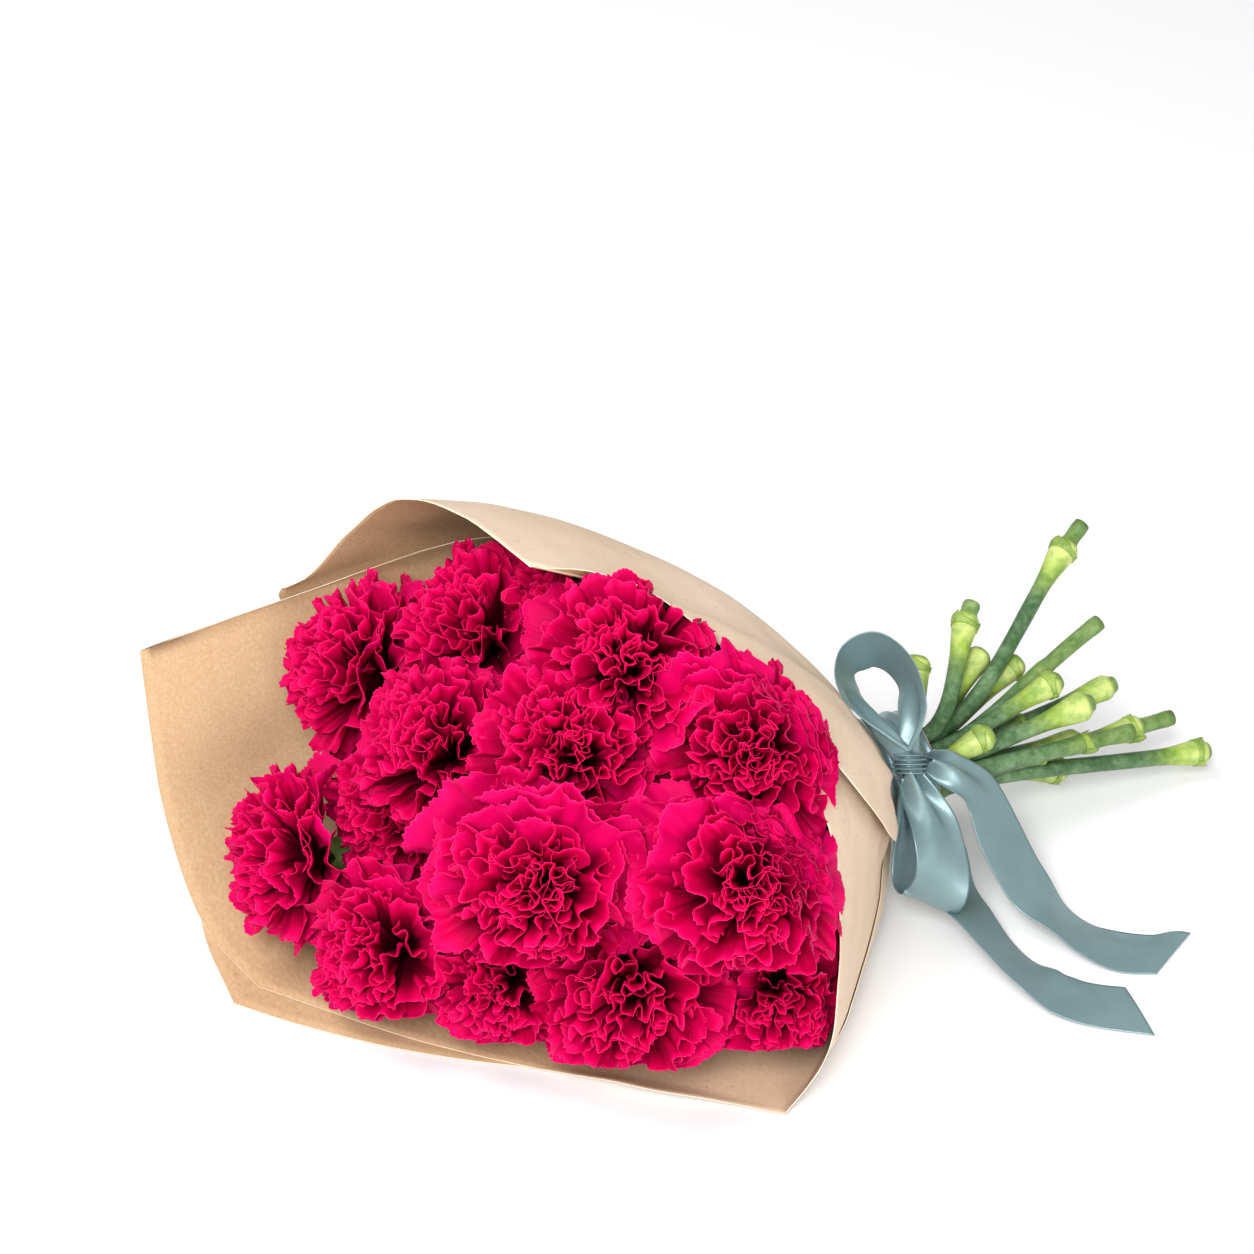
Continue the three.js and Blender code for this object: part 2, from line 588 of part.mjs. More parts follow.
function knotGeometry() {
  const rings = [-1, -0.6, 0, 0.6, 1].map((level) => Array.from({ length: 10 }, (_, k) => {
    const turn = (2 * Math.PI * k) / 10;
    const pinch = 1 - 0.22 * (1 - level * level);
    const size = Math.sqrt(1 - 0.55 * level * level) * pinch;
    return bow(6.4 * size * Math.cos(turn), 7.2 * level, 5.2 * size * Math.sin(turn));
  }));
  return ringsGeometry(rings, bow(0, -7.6, 0), bow(0, 7.6, 0));
}

addPiece('ribbon_waist_band', bandGeometry(), satin());
addPiece('ribbon_knot', knotGeometry(), satin());

const UPPER_WAY = bowWay(0.5, 0.12, 0.86);
addPiece('ribbon_upper_loop', ribbonStrip([
  station(bow(-3.5, 8.8, -1.5), UPPER_WAY, 0.3),
  station(bow(-12, 20, -1), UPPER_WAY, 0.75),
  station(bow(-23, 35, 0), UPPER_WAY, 1),
  station(bow(-24, 46, 0), UPPER_WAY, 1),
  station(bow(-14, 51, 0), UPPER_WAY, 1),
  station(bow(-1, 46, 0), UPPER_WAY, 1),
  station(bow(4, 33, 0), UPPER_WAY, 1),
  station(bow(4, 19, 0), UPPER_WAY, 0.7),
  station(bow(1.5, 8.8, 1.5), UPPER_WAY, 0.3),
], 16), satin());

const LOWER_WAY = bowWay(0.96, 0.18, 0.2);
addPiece('ribbon_lower_loop', ribbonStrip([
  station(bow(0.5, -8.9, -2.5), LOWER_WAY, 0.3),
  station(bow(6, -22, -9), LOWER_WAY, 0.75),
  station(bow(11, -38, -12), LOWER_WAY, 1.05),
  station(bow(12, -51, -9), LOWER_WAY, 1.1),
  station(bow(11, -56, -1), LOWER_WAY, 1.05),
  station(bow(9, -50, 6), LOWER_WAY, 1),
  station(bow(6, -34, 7), LOWER_WAY, 0.85),
  station(bow(2, -18, 3.5), LOWER_WAY, 0.55),
  station(bow(-0.5, -9, 1.5), LOWER_WAY, 0.3),
], 16), satin());

addPiece('ribbon_tail_near', ribbonStrip([
  station(bow(2, -10, 4.4), bowWay(0.96, 0.15, 0.2), 0.3),
  station(bow(6, -22, 10), bowWay(0.96, 0.15, 0.2), 0.65),
  station(bow(9, -37, 15), bowWay(0.96, 0.1, 0.25), 1),
  station(bow(12, -50, 16.5), vec([0.95, 0.3, 0.05]), 1),
  station(vec([3, -61, 11.5]), vec([0.95, 0.35, 0.1]), 1),
  station(vec([8, -81, 6]), vec([0.9, 0.45, 0.15]), 1),
  station(vec([17, -99, 3]), vec([0.75, 0.6, 0.15]), 1),
  station(vec([31, -114, 1.6]), vec([0.45, 0.9, 0]), 0.95),
  station(vec([48, -134, 0.8]), vec([0.15, 1, 0]), 1),
], 14), satin());
addPiece('ribbon_tail_far', ribbonStrip([
  station(vec([5, -22, 67]), vec([0.1, 0.6, 0.6]), 0.3),
  station(vec([17, -25, 62]), vec([0.25, 0.9, 0.2]), 0.75),
  station(vec([27, -34, 50]), vec([0.7, 0.6, 0]), 1),
  station(vec([33, -49, 34]), vec([0.9, 0.4, 0]), 1),
  station(vec([40, -66, 18]), vec([0.9, 0.45, 0]), 1),
  station(vec([50, -80, 6.5]), vec([0.8, 0.6, 0]), 1),
  station(vec([62, -94, 1.8]), vec([0.65, 0.8, 0]), 1),
  station(vec([79, -108, 0.8]), vec([0.6, 0.85, 0]), 1),
], 14), satin());

export default bunch;
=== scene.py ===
"""A bunch of fifteen carnations in kraft paper with a satin bow, lying on its side.

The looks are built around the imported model. Lengths are in millimetres in a working frame whose X axis
runs from the heads (-X) through the middle of the tie to the cut stem ends (+X), with +Z up and the bow
on the -Y side. ``to_metres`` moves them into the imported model's frame.
"""
from __future__ import annotations

import json
import logging
import math
from dataclasses import dataclass, field
from enum import Enum
from functools import partial

import bpy
import numpy as np
from bpy.types import Collection, Material, Mesh, Node, NodeSocket, NodeTree, Object
from mathutils import Matrix, Vector
from mathutils.kdtree import KDTree

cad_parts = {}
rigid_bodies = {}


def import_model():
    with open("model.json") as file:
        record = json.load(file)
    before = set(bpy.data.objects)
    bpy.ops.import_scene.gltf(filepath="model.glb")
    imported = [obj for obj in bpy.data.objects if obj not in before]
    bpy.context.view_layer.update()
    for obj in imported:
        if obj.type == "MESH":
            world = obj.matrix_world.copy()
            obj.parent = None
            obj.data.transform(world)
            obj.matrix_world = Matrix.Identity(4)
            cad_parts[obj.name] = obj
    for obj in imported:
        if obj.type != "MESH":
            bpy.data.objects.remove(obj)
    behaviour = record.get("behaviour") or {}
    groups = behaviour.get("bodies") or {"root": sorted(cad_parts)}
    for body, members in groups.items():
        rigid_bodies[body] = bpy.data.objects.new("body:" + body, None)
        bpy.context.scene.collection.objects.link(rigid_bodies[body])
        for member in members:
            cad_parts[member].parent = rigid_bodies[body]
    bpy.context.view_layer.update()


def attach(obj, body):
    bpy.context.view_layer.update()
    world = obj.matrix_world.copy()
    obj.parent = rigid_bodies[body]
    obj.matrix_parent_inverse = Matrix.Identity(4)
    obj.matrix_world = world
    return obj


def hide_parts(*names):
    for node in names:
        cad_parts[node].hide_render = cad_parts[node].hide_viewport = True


LOG = logging.getLogger("carnations")

MILLIMETRE = 0.001
FRAME_SHIFT = np.array([67.776, -7.874, 0.0])
TIE_CENTRE = np.array([0.0, 0.0, 45.0])
WORLD_UP = np.array([0.0, 0.0, 1.0])
# Down across the picture, from the camera.
PICTURE_DOWN = np.array([-0.272, -0.583, -0.766])
# Turning by this share of a circle each time spreads petals evenly round a head.
GOLDEN_SHARE = 0.381966


class Slot(Enum):
    """The record's material slots."""

    PAPER = "kraft_paper"
    RIBBON = "satin_ribbon"
    PETALS = "petal_pink"
    STEM = "stem_green"


# ---- small helpers
def to_metres(points: np.ndarray) -> np.ndarray:
    """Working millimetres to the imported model's metres."""
    return (np.asarray(points, float) + FRAME_SHIFT) * MILLIMETRE


def unit(vectors: np.ndarray) -> np.ndarray:
    """Vectors of length one along the last axis."""
    vectors = np.asarray(vectors, float)
    return vectors / np.maximum(np.linalg.norm(vectors, axis=-1, keepdims=True), 1e-12)


def smoothstep(value: np.ndarray, low: float, high: float) -> np.ndarray:
    """Eased share of the way from low to high, kept between 0 and 1."""
    t = np.clip((np.asarray(value, float) - low) / (high - low), 0.0, 1.0)
    return t * t * (3.0 - 2.0 * t)


def run(points: np.ndarray) -> np.ndarray:
    """Distance along a line of points, at each of them."""
    return np.concatenate([[0], np.cumsum(np.linalg.norm(np.diff(points, axis=0), axis=1))])


@dataclass
class SmoothNoise:
    """A soft seeded field of a few waves, from about -1 to 1."""

    seed: int  # Picks the waves
    wavelength: float  # Typical wave length in the unit of the points
    waves: int = 14  # How many waves are added up

    def __post_init__(self) -> None:
        """Draws the waves."""
        random = np.random.default_rng(self.seed)
        lengths = self.wavelength * random.uniform(0.6, 1.7, self.waves)
        ways = unit(random.normal(size=(self.waves, 3)))
        self.waves_along = ways * (2 * math.pi / lengths)[:, None]
        self.phases = random.uniform(0, 2 * math.pi, self.waves)

    def at(self, points: np.ndarray) -> np.ndarray:
        """Value of the field at each point.

        Args:
            points: The points, in any shape that ends in three.

        Returns:
            One value for each point.
        """
        flat = np.asarray(points, float).reshape(-1, 3)
        total = np.sin(flat @ self.waves_along.T + self.phases).sum(axis=1)
        return (total / math.sqrt(self.waves * 0.5) * 0.6).reshape(np.shape(points)[:-1])


@dataclass
class Curve3:
    """A smooth line through points, paced by the square root of the distances between them."""

    points: np.ndarray

    def at(self, u: np.ndarray) -> np.ndarray:
        """Points on the line.

        Args:
            u: Shares of the way along, from 0 to 1, with each stretch between points the same share.

        Returns:
            One point for each share.
        """
        p = np.asarray(self.points, float)
        p = np.vstack([2 * p[0] - p[1], p, 2 * p[-1] - p[-2]])
        stretches = len(p) - 3
        place = np.clip(np.asarray(u, float), 0, 1) * stretches
        index = np.minimum(place.astype(int), stretches - 1)
        t = (place - index)[:, None]
        p0, p1, p2, p3 = (p[index + k] for k in range(4))
        d1, d2, d3 = (np.maximum(np.linalg.norm(b - a, axis=1)[:, None] ** 0.5, 1e-4)
                      for a, b in ((p0, p1), (p1, p2), (p2, p3)))
        tangent1 = ((p1 - p0) / d1 - (p2 - p0) / (d1 + d2) + (p2 - p1) / d2) * d2
        tangent2 = ((p2 - p1) / d2 - (p3 - p1) / (d2 + d3) + (p3 - p2) / d3) * d2
        return ((2 * t ** 3 - 3 * t ** 2 + 1) * p1 + (t ** 3 - 2 * t ** 2 + t) * tangent1
                + (3 * t ** 2 - 2 * t ** 3) * p2 + (t ** 3 - t ** 2) * tangent2)


# ---- meshes
@dataclass
class Surface:
    """Points and faces of one piece, with the values that its material reads."""

    points: np.ndarray  # Working millimetres, one row a point
    quads: np.ndarray  # Four point numbers a face
    face_values: dict[str, np.ndarray] = field(default_factory=dict)  # Named numbers, one for each face
    point_values: dict[str, np.ndarray] = field(default_factory=dict)  # Named numbers, one for each point
    flat: np.ndarray | None = None  # Place of each point on the flat piece, for the UV map

    def facing_out(self) -> Surface:
        """The same surface with its faces turned outward.

        Returns:
            The surface itself.
        """
        middle = self.points.mean(axis=0)
        a, b, c, d = (self.points[self.quads[:, k]] - middle for k in range(4))
        volume = np.sum(a * np.cross(b, c)) + np.sum(a * np.cross(c, d))
        if volume < 0:
            self.quads = self.quads[:, [1, 0, 3, 2]]
        return self

    def joined(self, other: Surface) -> Surface:
        """This surface and another as one piece.

        Args:
            other: The other surface.

        Returns:
            Both, with zeros for the values that only one of them has.
        """
        start = len(self.points)
        values = {}
        for name in sorted({*self.point_values, *other.point_values}):
            mine = self.point_values.get(name, np.zeros(start))
            theirs = other.point_values.get(name, np.zeros(len(other.points)))
            values[name] = np.concatenate([mine, theirs])
        flat = None
        if self.flat is not None and other.flat is not None:
            flat = np.vstack([self.flat, other.flat])
        quads = np.vstack([self.quads, other.quads + start])
        return Surface(np.vstack([self.points, other.points]), quads, point_values=values, flat=flat)

    def mesh(self, name: str, metres: bool = True) -> Mesh:
        """A Blender mesh of the surface.

        Args:
            name: Name of the mesh.
            metres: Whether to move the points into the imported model's frame.

        Returns:
            The mesh, smooth shaded, with its attributes and UV map.
        """
        mesh = bpy.data.meshes.new(name)
        points = to_metres(self.points) if metres else self.points
        # A quad with a doubled corner is a triangle at a pole.
        kept = np.ones(self.quads.shape, bool)
        kept[:, 3] = self.quads[:, 2] != self.quads[:, 3]
        corners = self.quads[kept]
        starts = np.concatenate([[0], np.cumsum(kept.sum(axis=1))[:-1]])
        mesh.vertices.add(len(points))
        mesh.vertices.foreach_set("co", points.astype(np.float32).ravel())
        mesh.loops.add(len(corners))
        mesh.loops.foreach_set("vertex_index", corners.astype(np.int32))
        mesh.polygons.add(len(starts))
        mesh.polygons.foreach_set("loop_start", starts.astype(np.int32))
        mesh.update(calc_edges=True)
        mesh.polygons.foreach_set("use_smooth", np.ones(len(starts), bool))
        for domain, named in (("POINT", self.point_values), ("FACE", self.face_values)):
            for key, values in named.items():
                layer = mesh.attributes.new(key, "FLOAT", domain)
                layer.data.foreach_set("value", values.astype(np.float32))
        if self.flat is not None:
            layer = mesh.uv_layers.new(name="flat")
            layer.data.foreach_set("uv", self.flat[corners].astype(np.float32).ravel())
        return mesh


def shell(front: np.ndarray, back: np.ndarray, flat: np.ndarray | None = None) -> Surface:
    """A closed thin shell between two matching grids of points.

    Args:
        front: Grid of points of one face, columns by rows by three.
        back: Grid of the other face.
        flat: Place of each grid point on the flat piece, columns by rows by two.

    Returns:
        The shell, with face values ``side`` (1 on the front, 0 on the back) and ``edge`` (1 on the
        narrow faces round it).
    """
    columns, rows = front.shape[0], front.shape[1]
    count = columns * rows
    at = np.arange(count).reshape(columns, rows)
    a, b, c, d = at[:-1, :-1], at[1:, :-1], at[1:, 1:], at[:-1, 1:]
    top = np.stack([a, b, c, d], axis=-1).reshape(-1, 4)
    under = top[:, ::-1] + count
    strips = []
    for line, outward in ((at[:, 0], False), (at[:, -1], True), (at[0, :], True), (at[-1, :], False)):
        low, high = line[:-1], line[1:]
        quad = np.stack([low, high, high + count, low + count], axis=-1)
        strips.append(quad[:, ::-1] if outward else quad)
    border = np.vstack(strips)[:, ::-1]
    quads = np.vstack([top, under, border])
    side = np.concatenate([np.ones(len(top)), np.zeros(len(under)), np.full(len(border), 0.5)])
    edge = np.concatenate([np.zeros(len(top) + len(under)), np.ones(len(border))])
    points = np.vstack([front.reshape(-1, 3), back.reshape(-1, 3)])
    laid = None if flat is None else np.vstack([flat.reshape(-1, 2)] * 2)
    return Surface(points, quads, {"side": side, "edge": edge}, {}, laid).facing_out()


def tube(rings: np.ndarray, start: np.ndarray, end: np.ndarray) -> Surface:
    """A closed body of rings of points with a pole at each end.

    Args:
        rings: Rings by sides by three.
        start: The pole before the first ring.
        end: The pole after the last ring.

    Returns:
        The body, facing outward. Its first point is the start pole and its last the end pole.
    """
    count, sides = rings.shape[0], rings.shape[1]
    at = 1 + np.arange(count * sides).reshape(count, sides)
    turned = np.roll(at, -1, axis=1)
    wall = np.stack([at[:-1], turned[:-1], turned[1:], at[1:]], axis=-1).reshape(-1, 4)
    last = 1 + count * sides
    first_cap = np.stack([turned[0], at[0], np.zeros(sides, int), np.zeros(sides, int)], axis=-1)
    end_cap = np.stack([at[-1], turned[-1], np.full(sides, last), np.full(sides, last)], axis=-1)
    points = np.vstack([start[None], rings.reshape(-1, 3), end[None]])
    return Surface(points, np.vstack([wall, first_cap, end_cap])).facing_out()


def place(mesh: Mesh, material: Material, slot: Slot, node: str) -> Object:
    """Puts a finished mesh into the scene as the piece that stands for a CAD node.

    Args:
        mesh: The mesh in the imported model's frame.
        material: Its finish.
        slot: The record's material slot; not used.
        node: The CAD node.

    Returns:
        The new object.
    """
    piece = bpy.data.objects.new(mesh.name, mesh)
    bpy.context.scene.collection.objects.link(piece)
    mesh.materials.clear()
    mesh.materials.append(material)
    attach(piece, "root")
    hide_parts(node)
    LOG.info("%s: %d faces", piece.name, len(mesh.polygons))
    return piece


# ---- node trees
class NodeSheet:
    """Adds and links nodes of one tree."""

    def __init__(self, tree: NodeTree) -> None:
        """Works on the given tree."""
        self.tree = tree

    def add(self, kind: str, sockets: dict | None = None, **settings: object) -> Node:
        """Adds a node.

        Args:
            kind: Blender's node type.
            sockets: Input name or number to a constant, or to an output socket to link from.
            settings: Properties of the node.

        Returns:
            The new node.
        """
        node = self.tree.nodes.new(kind)
        for key, value in settings.items():
            setattr(node, key, value)
        for key, value in (sockets or {}).items():
            self.feed(node, key, value)
        return node

    def feed(self, node: Node, key: str | int, value: object) -> None:
        """Sets or links one input of a node.

        Args:
            node: The node.
            key: Name or number of its input.
            value: A constant, or an output socket to link from.
        """
        socket = node.inputs[key]
        if isinstance(value, NodeSocket):
            self.tree.links.new(value, socket)
        else:
            socket.default_value = value

    def math(self, operation: str, first: object, second: object = 0.0, clamp: bool = False) -> object:
        """Output of a Math node."""
        node = self.add("ShaderNodeMath", {0: first, 1: second}, operation=operation, use_clamp=clamp)
        return node.outputs[0]

    def mix(self, factor: object, first: object, second: object) -> object:
        """Output of a colour Mix node."""
        node = self.add("ShaderNodeMix", {0: factor, 6: first, 7: second}, data_type="RGBA")
        return node.outputs[2]

    def ease(self, value: object, low: float, high: float, start: float = 0.0, end: float = 1.0) -> object:
        """Output of a smooth Map Range node."""
        sockets = {"Value": value, "From Min": low, "From Max": high, "To Min": start, "To Max": end}
        return self.add("ShaderNodeMapRange", sockets, interpolation_type="SMOOTHSTEP").outputs[0]

    def attribute(self, name: str) -> object:
        """Output of an Attribute node for a named value of the mesh."""
        return self.add("ShaderNodeAttribute", attribute_name=name).outputs["Fac"]

    def random(self, low: object, high: object, seed: object, shift: float) -> object:
        """A random number for each petal; the shift sets it apart from the petal's others."""
        sockets = {2: low, 3: high, 8: self.math("ADD", seed, shift)}
        return self.add("FunctionNodeRandomValue", sockets, data_type="FLOAT").outputs[1]


def new_group(name: str, inputs: dict[str, tuple[str, object]], outputs: dict[str, str]) -> tuple:
    """A shader node group with named sockets.

    Args:
        name: Name of the group.
        inputs: Socket name to its kind and default.
        outputs: Socket name to its kind.

    Returns:
        The group, its sheet of nodes, the group input node and the group output node.
    """
    group = bpy.data.node_groups.new(name, "ShaderNodeTree")
    for key, (kind, default) in inputs.items():
        socket = group.interface.new_socket(key, in_out="INPUT", socket_type=kind)
        if default is not None:
            socket.default_value = default
    for key, kind in outputs.items():
        group.interface.new_socket(key, in_out="OUTPUT", socket_type=kind)
    nodes = NodeSheet(group)
    return group, nodes, nodes.add("NodeGroupInput"), nodes.add("NodeGroupOutput")


def grain_group() -> NodeTree:
    """Fine streaks drawn out along one direction: paper fibre, petal veins, stem streaks and threads.

    Returns:
        The shader node group, made once.
    """
    known = bpy.data.node_groups.get("Drawn Grain")
    if known:
        return known
    group, nodes, inside, outside = new_group(
        "Drawn Grain",
        {"Vector": ("NodeSocketVector", None), "Stretch": ("NodeSocketVector", (1.0, 1.0, 1.0)),
         "Scale": ("NodeSocketFloat", 100.0), "Contrast": ("NodeSocketFloat", 0.2)},
        {"Value": "NodeSocketFloat"},
    )
    drawn = nodes.add("ShaderNodeVectorMath", {0: inside.outputs["Vector"], 1: inside.outputs["Stretch"]},
                      operation="MULTIPLY").outputs[0]
    noise = nodes.add("ShaderNodeTexNoise", {"Vector": drawn, "Scale": inside.outputs["Scale"],
                                             "Detail": 3.0, "Roughness": 0.55}).outputs[0]
    centred = nodes.math("SUBTRACT", noise, 0.5)
    scaled = nodes.math("MULTIPLY", centred, inside.outputs["Contrast"])
    nodes.feed(outside, "Value", nodes.math("ADD", nodes.math("MULTIPLY", scaled, 4.0), 0.5, clamp=True))
    return group


def blotch_group() -> NodeTree:
    """Slow patchy change of colour between two tints.

    Returns:
        The shader node group, made once.
    """
    known = bpy.data.node_groups.get("Patchy Tint")
    if known:
        return known
    group, nodes, inside, outside = new_group(
        "Patchy Tint",
        {"Vector": ("NodeSocketVector", None), "Scale": ("NodeSocketFloat", 12.0),
         "First": ("NodeSocketColor", (1, 1, 1, 1)), "Second": ("NodeSocketColor", (0.8, 0.8, 0.8, 1))},
        {"Color": "NodeSocketColor"},
    )
    noise = nodes.add("ShaderNodeTexNoise", {"Vector": inside.outputs["Vector"],
                                             "Scale": inside.outputs["Scale"],
                                             "Detail": 4.0, "Roughness": 0.6}).outputs[0]
    mask = nodes.ease(noise, 0.32, 0.68)
    nodes.feed(outside, "Color", nodes.mix(mask, inside.outputs["First"], inside.outputs["Second"]))
    return group


@dataclass
class FinishBench:
    """Starts a material with its coordinates, its shader and the shared groups."""

    name: str

    def __post_init__(self) -> None:
        """Makes an empty material of that name, with its shader and output."""
        self.material = bpy.data.materials.new(self.name)
        self.material.use_nodes = True
        self.material.node_tree.nodes.clear()
        self.nodes = NodeSheet(self.material.node_tree)
        self.shader = self.nodes.add("ShaderNodeBsdfPrincipled")
        self.nodes.add("ShaderNodeOutputMaterial", {"Surface": self.shader.outputs[0]})
        self.place = self.nodes.add("ShaderNodeTexCoord").outputs["Object"]

    def flat(self) -> object:
        """The piece's own UV map."""
        return self.nodes.add("ShaderNodeUVMap", uv_map="flat").outputs[0]

    def grain(self, vector: object, stretch: tuple, scale: float, contrast: float) -> object:
        """Value of the drawn grain, from 0 to 1, denser along the coordinates that are stretched."""
        sockets = {"Vector": vector, "Stretch": stretch, "Scale": scale, "Contrast": contrast}
        return self.nodes.add("ShaderNodeGroup", sockets, node_tree=grain_group()).outputs["Value"]

    def patches(self, scale: float, first: tuple, second: tuple) -> object:
        """Colour of the patchy tint between two tints."""
        sockets = {"Vector": self.place, "Scale": scale, "First": first, "Second": second}
        return self.nodes.add("ShaderNodeGroup", sockets, node_tree=blotch_group()).outputs["Color"]

    def multiply(self, factor: float, first: object, second: object) -> object:
        """Output of a colour Mix node that multiplies."""
        sockets = {0: factor, 6: first, 7: second}
        return self.nodes.add("ShaderNodeMix", sockets, data_type="RGBA", blend_type="MULTIPLY").outputs[2]

    def bump(self, height: object, distance: float, strength: float, **before: object) -> object:
        """Normal of a Bump node so many metres high, on top of the Normal that it is given."""
        sockets = {"Height": height, "Distance": distance, "Strength": strength, **before}
        return self.nodes.add("ShaderNodeBump", sockets).outputs[0]

    def set(self, **values: object) -> None:
        """Sets shader inputs; an underscore in a name stands for a space."""
        for key, value in values.items():
            self.nodes.feed(self.shader, key.replace("_", " "), value)


def rgb(*levels: int) -> tuple:
    """A screen colour's red, green and blue, from 0 to 255, as linear RGBA."""
    shares = [level / 255 for level in levels]
    return (*(s / 12.92 if s <= 0.04045 else ((s + 0.055) / 1.055) ** 2.4 for s in shares), 1.0)


# ---- finishes
@dataclass(frozen=True)
class KraftFinish:
    """Unbleached wrapping paper: pale outer side, warmer inner side with painted light towards the near
    corner, fibres, flecks and crease lines.
    """

    outer: tuple = rgb(216, 193, 171)
    outer_shade: tuple = rgb(209, 184, 157)
    inner: tuple = rgb(180, 145, 107)
    inner_shade: tuple = rgb(172, 135, 97)
    edge: tuple = rgb(236, 220, 194)
    fleck: tuple = rgb(150, 110, 70)

    def material(self) -> Material:
        """The finish as a material.

        Returns:
            The material.
        """
        bench = FinishBench("kraft_paper")
        nodes, mix, ease = bench.nodes, bench.nodes.mix, bench.nodes.ease
        outer = bench.patches(14.0, self.outer, self.outer_shade)
        inner = bench.patches(11.0, self.inner, self.inner_shade)
        # Painted light: the inner side pales towards the near corner, where the heads above shade it.
        front = nodes.add("ShaderNodeSeparateXYZ", {0: bench.place}).outputs["Y"]
        inner = mix(ease(front, -0.06, -0.115, 0.0, 0.62), inner, self.outer_shade)
        side = nodes.attribute("side")
        colour = mix(side, inner, outer)
        fibre = bench.grain(bench.place, (1.0, 0.35, 1.0), 900.0, 0.28)
        pulp = bench.grain(bench.place, (1.0, 1.0, 1.0), 260.0, 0.25)
        colour = mix(ease(fibre, 0.2, 0.9, 0.0, 0.2), colour, self.edge)
        colour = mix(ease(pulp, 0.55, 1.0, 0.0, 0.22), colour, self.fleck)
        scatter = nodes.add("ShaderNodeTexVoronoi", {"Vector": bench.place, "Scale": 150.0,
                                                     "Randomness": 1.0}).outputs["Distance"]
        colour = mix(ease(scatter, 0.13, 0.06, 0.0, 0.35), colour, self.fleck)
        edge = nodes.attribute("edge")
        colour = mix(edge, colour, self.edge)
        line = nodes.add("ShaderNodeTexVoronoi", {"Vector": bench.place, "Scale": 13.0},
                         feature="DISTANCE_TO_EDGE").outputs["Distance"]
        worn = nodes.add("ShaderNodeTexNoise", {"Vector": bench.place, "Scale": 21.0}).outputs[0]
        crease = nodes.math("MAXIMUM", ease(line, 0.0, 0.05), ease(worn, 0.62, 0.5))
        normal = bench.bump(crease, 0.0005, 0.3)
        normal = bench.bump(nodes.math("ADD", fibre, pulp), 0.00012, 0.7, Normal=normal)
        bench.set(Base_Color=colour, Roughness=ease(pulp, 0.0, 1.0, 0.72, 0.9), Normal=normal)
        bench.set(Specular_IOR_Level=0.35)
        return bench.material


@dataclass(frozen=True)
class PetalFinish:
    """Carnation petals: deep pink with painted shade towards each petal's foot deep in the head and painted
    light towards its edge, a thin painted highlight along the edge, and fine radiating veins.
    """

    # Painted shade, deep in the head towards each petal's foot.
    shade: tuple = rgb(76, 0, 24)
    deep: tuple = rgb(163, 0, 51)
    bright: tuple = rgb(211, 0, 81)
    guard: tuple = rgb(208, 0, 88)
    # Painted highlight along each petal's edge.
    rim: tuple = rgb(246, 48, 118)

    def material(self) -> Material:
        """The finish as a material.

        Returns:
            The material.
        """
        bench = FinishBench("petal_pink")
        nodes, mix, ease = bench.nodes, bench.nodes.mix, bench.nodes.ease
        flat = bench.flat()
        along = nodes.add("ShaderNodeSeparateXYZ", {0: flat}).outputs["Y"]
        tone = nodes.attribute("tone")
        # Painted shade and light: deep towards each petal's foot, bright towards its edge.
        body = mix(ease(along, 0.6, 1.0), self.deep, self.bright)
        body = mix(ease(tone, 0.45, 1.0), body, self.guard)
        # Painted shade: much darker again towards the foot, less so on the outer petals.
        painted_shade_mask = nodes.math("MULTIPLY", ease(along, 0.86, 0.4), ease(tone, 0.5, 1.0, 1.0, 0.75))
        body = mix(painted_shade_mask, body, self.shade)
        vein = bench.grain(flat, (46.0, 2.2, 1.0), 1.0, 0.3)
        body = mix(ease(vein, 0.5, 1.0, 0.0, 0.5), body, self.deep)
        cloud = bench.patches(85.0, (1, 1, 1, 1), (0.82, 0.8, 0.84, 1))
        body = bench.multiply(0.8, body, cloud)
        # Painted highlight: a thin pale line along each petal's edge.
        body = mix(ease(along, 0.982, 0.998, 0.0, 0.4), body, self.rim)
        normal = bench.bump(vein, 0.0004, 0.7)
        bench.set(Base_Color=body, Roughness=ease(vein, 0.0, 1.0, 0.42, 0.6), Normal=normal)
        bench.set(Specular_IOR_Level=0.15, Specular_Tint=rgb(255, 150, 190), Subsurface_Weight=0.08,
                  Subsurface_Scale=0.003, Subsurface_Radius=(1.0, 0.03, 0.45))
        return bench.material


